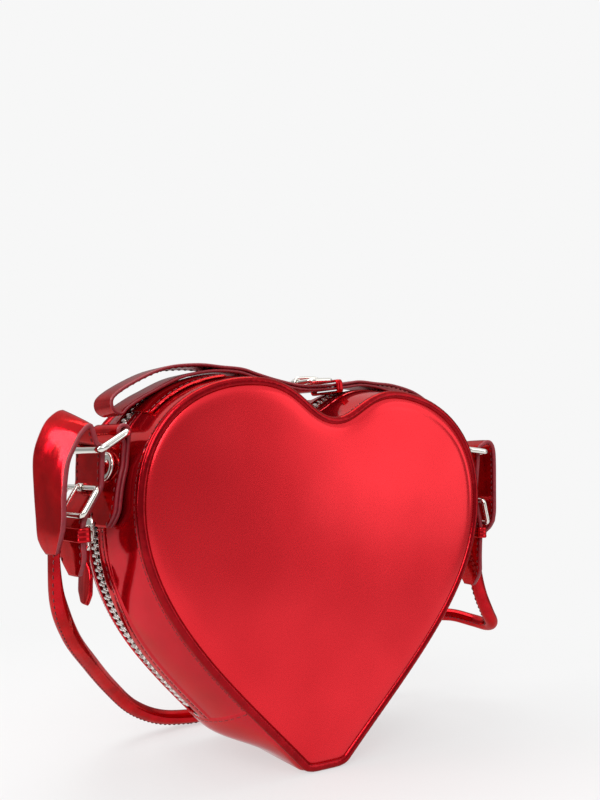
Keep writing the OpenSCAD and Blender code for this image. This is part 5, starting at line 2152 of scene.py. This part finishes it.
@dataclass
class Studio:
    """Camera at the photograph's place, soft lamps, a pale floor and a pale surround.

    Attributes:
        eye: Place of the camera in millimetres.
        azimuth: Its heading from +Y, in degrees.
        tilt: How far it looks up, in degrees.
        roll: Its roll in radians.
        focal_px: Focal length in pixels of the photograph.
        frame_px: Width and height of the photograph.
        principal_y: Row of the photograph's principal point.
        ground: Colour that the camera sees behind the object.
    """

    eye: tuple[float, float, float] = (-234.4, -348.1, 138.4)
    azimuth: float = 34.56
    tilt: float = 1.57
    roll: float = 0.0212
    focal_px: float = 813.2
    frame_px: tuple[int, int] = (600, 800)
    principal_y: float = 455.0
    ground: str = "F7F7F7"

    def build(self) -> None:
        """Builds the camera, the world, the lamps and the floor."""
        self.camera()
        self.world()
        self.lamps()
        self.floor()
        bpy.context.scene.view_settings.view_transform = "Standard"

    def camera(self) -> None:
        """Camera whose rows are right, up and back, with the photograph's lens and shift."""
        a, e = math.radians(self.azimuth), math.radians(self.tilt)
        ahead = Vector((math.sin(a) * math.cos(e), math.cos(a) * math.cos(e), math.sin(e)))
        right = ahead.cross(Vector((0, 0, 1))).normalized()
        up = right.cross(ahead)
        c, s = math.cos(self.roll), math.sin(self.roll)
        right, up = right * c + up * s, up * c - right * s
        data = bpy.data.cameras.new("camera")
        data.sensor_fit = "VERTICAL"
        data.sensor_height = 24.0
        data.lens = 24.0 * self.focal_px / self.frame_px[1]
        data.shift_y = (self.principal_y - self.frame_px[1] / 2) / self.frame_px[1]
        data.clip_start = 0.01
        camera = bpy.data.objects.new("camera", data)
        matrix = Matrix((right, up, -ahead)).transposed().to_4x4()
        matrix.translation = Vector(self.eye) * MM
        camera.matrix_world = matrix
        bpy.context.scene.collection.objects.link(camera)
        bpy.context.scene.camera = camera

    def world(self) -> None:
        """Pale surround: near white to the camera; in mirrors bright above and below, darker at the sides."""
        world = bpy.data.worlds.new("surround")
        world.use_nodes = True
        tree = world.node_tree
        tree.nodes.clear()
        way = add(tree, "ShaderNodeTexCoord").outputs["Generated"]
        parts = add(tree, "ShaderNodeSeparateXYZ", None, Vector=way)
        stops = [(0.0, 0.9), (0.4, 0.95), (0.5, 0.34), (0.56, 0.42), (0.62, 0.3), (0.8, 1.0), (1.0, 0.85)]
        greys = [(height_share, (level, level, level, 1.0)) for height_share, level in stops]
        height = add(
            tree, "ShaderNodeMapRange", {"From Min": -1.0, "From Max": 1.0}, Value=parts.outputs["Z"]
        )
        band = ramp(tree, height.outputs["Result"], greys)
        path = add(tree, "ShaderNodeLightPath")
        seen = add(tree, "ShaderNodeBackground", {"Color": linear(self.ground), "Strength": 1.0})
        lit = add(tree, "ShaderNodeBackground", {"Strength": 1.0}, Color=band.outputs["Color"])
        mix = add(
            tree, "ShaderNodeMixShader", None, Fac=path.outputs["Is Camera Ray"],
            i1=lit.outputs["Background"], i2=seen.outputs["Background"]
        )
        add(tree, "ShaderNodeOutputWorld", None, Surface=mix.outputs["Shader"])
        bpy.context.scene.world = world

    def lamps(self) -> None:
        """Soft boxes: name, place, size in metres and power in watts, each aimed at the middle of the bag."""
        boxes = [
            ("box_key", (-0.75, -0.9, 0.95), (0.7, 0.9), 10.0),
            ("box_left", (-1.1, 0.25, 0.5), (0.35, 1.1), 9.0),
            ("box_right", (0.95, -0.95, 0.4), (0.6, 1.0), 2.6),
            ("box_top", (0.0, 0.2, 1.3), (1.1, 0.8), 7.0),
        ]
        for name, place, size, watts in boxes:
            data = bpy.data.lights.new(name, "AREA")
            data.shape = "RECTANGLE"
            data.size, data.size_y = size
            data.energy = watts
            lamp = bpy.data.objects.new(name, data)
            lamp.location = place
            lamp.rotation_euler = (Vector((0, 0, 0.09)) - Vector(place)).to_track_quat("-Z", "Y").to_euler()
            bpy.context.scene.collection.objects.link(lamp)

    def floor(self) -> None:
        """Pale matt floor that takes the shadow and fades into the surround's colour away from the object.

        In mirrors it darkens with distance, as a table does that ends in a dark studio.
        """
        mesh = bpy.data.meshes.new("floor")
        n, reach = 24, 3.0
        side = np.linspace(-reach, reach, n + 1)
        x, y = np.meshgrid(side, side, indexing="ij")
        verts = np.stack([x, y, np.full(x.shape, -0.00005)], -1).reshape(-1, 3)
        mesh.from_pydata(verts.tolist(), [], grid_faces(n + 1, n + 1)[:, ::-1].tolist())
        material, tree = blank("matt_paper_floor")
        place = add(tree, "ShaderNodeTexCoord").outputs["Object"]
        far = add(tree, "ShaderNodeVectorMath", {"operation": "LENGTH"}, i0=place)
        fade = add(
            tree, "ShaderNodeMapRange",
            {"interpolation_type": "SMOOTHSTEP", "From Min": 0.16, "From Max": 0.42, "To Min": 0.62},
            Value=far.outputs["Value"]
        )
        paper = add(tree, "ShaderNodeBsdfPrincipled", {"Base Color": linear("D2D2D2"), "Roughness": 0.55})
        ends = add(
            tree, "ShaderNodeMapRange", {"From Min": 0.35, "From Max": 0.9, "To Min": 1.0, "To Max": 0.36},
            Value=far.outputs["Value"]
        )
        path = add(tree, "ShaderNodeLightPath")
        level = add(
            tree, "ShaderNodeMath", {"operation": "MAXIMUM"}, i0=path.outputs["Is Camera Ray"],
            i1=ends.outputs["Result"]
        )
        glow = add(
            tree, "ShaderNodeEmission", {"Color": linear(self.ground)}, Strength=level.outputs["Value"]
        )
        mix = add(
            tree, "ShaderNodeMixShader", None, Fac=fade.outputs["Result"], i1=paper.outputs["BSDF"],
            i2=glow.outputs["Emission"]
        )
        add(tree, "ShaderNodeOutputMaterial", None, Surface=mix.outputs["Shader"])
        mesh.materials.append(material)
        obj = bpy.data.objects.new("floor", mesh)
        bpy.context.scene.collection.objects.link(obj)


def main() -> None:
    """Builds the bag on its frame and the studio round it."""
    logging.basicConfig(level=logging.INFO, format="%(name)s %(message)s")
    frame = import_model()
    shop = Workshop()
    heart = Heart()
    Studio().build()
    Body(shop, heart).build()
    Zip(shop, heart).build()
    Straps(shop, heart).build()
    for node in frame["nodes"]:
        if node.endswith("_board"):
            dress(node, shop.paints("board"))
    LOG.info("%d pieces made", shop.count)


if __name__ == "__main__":
    main()
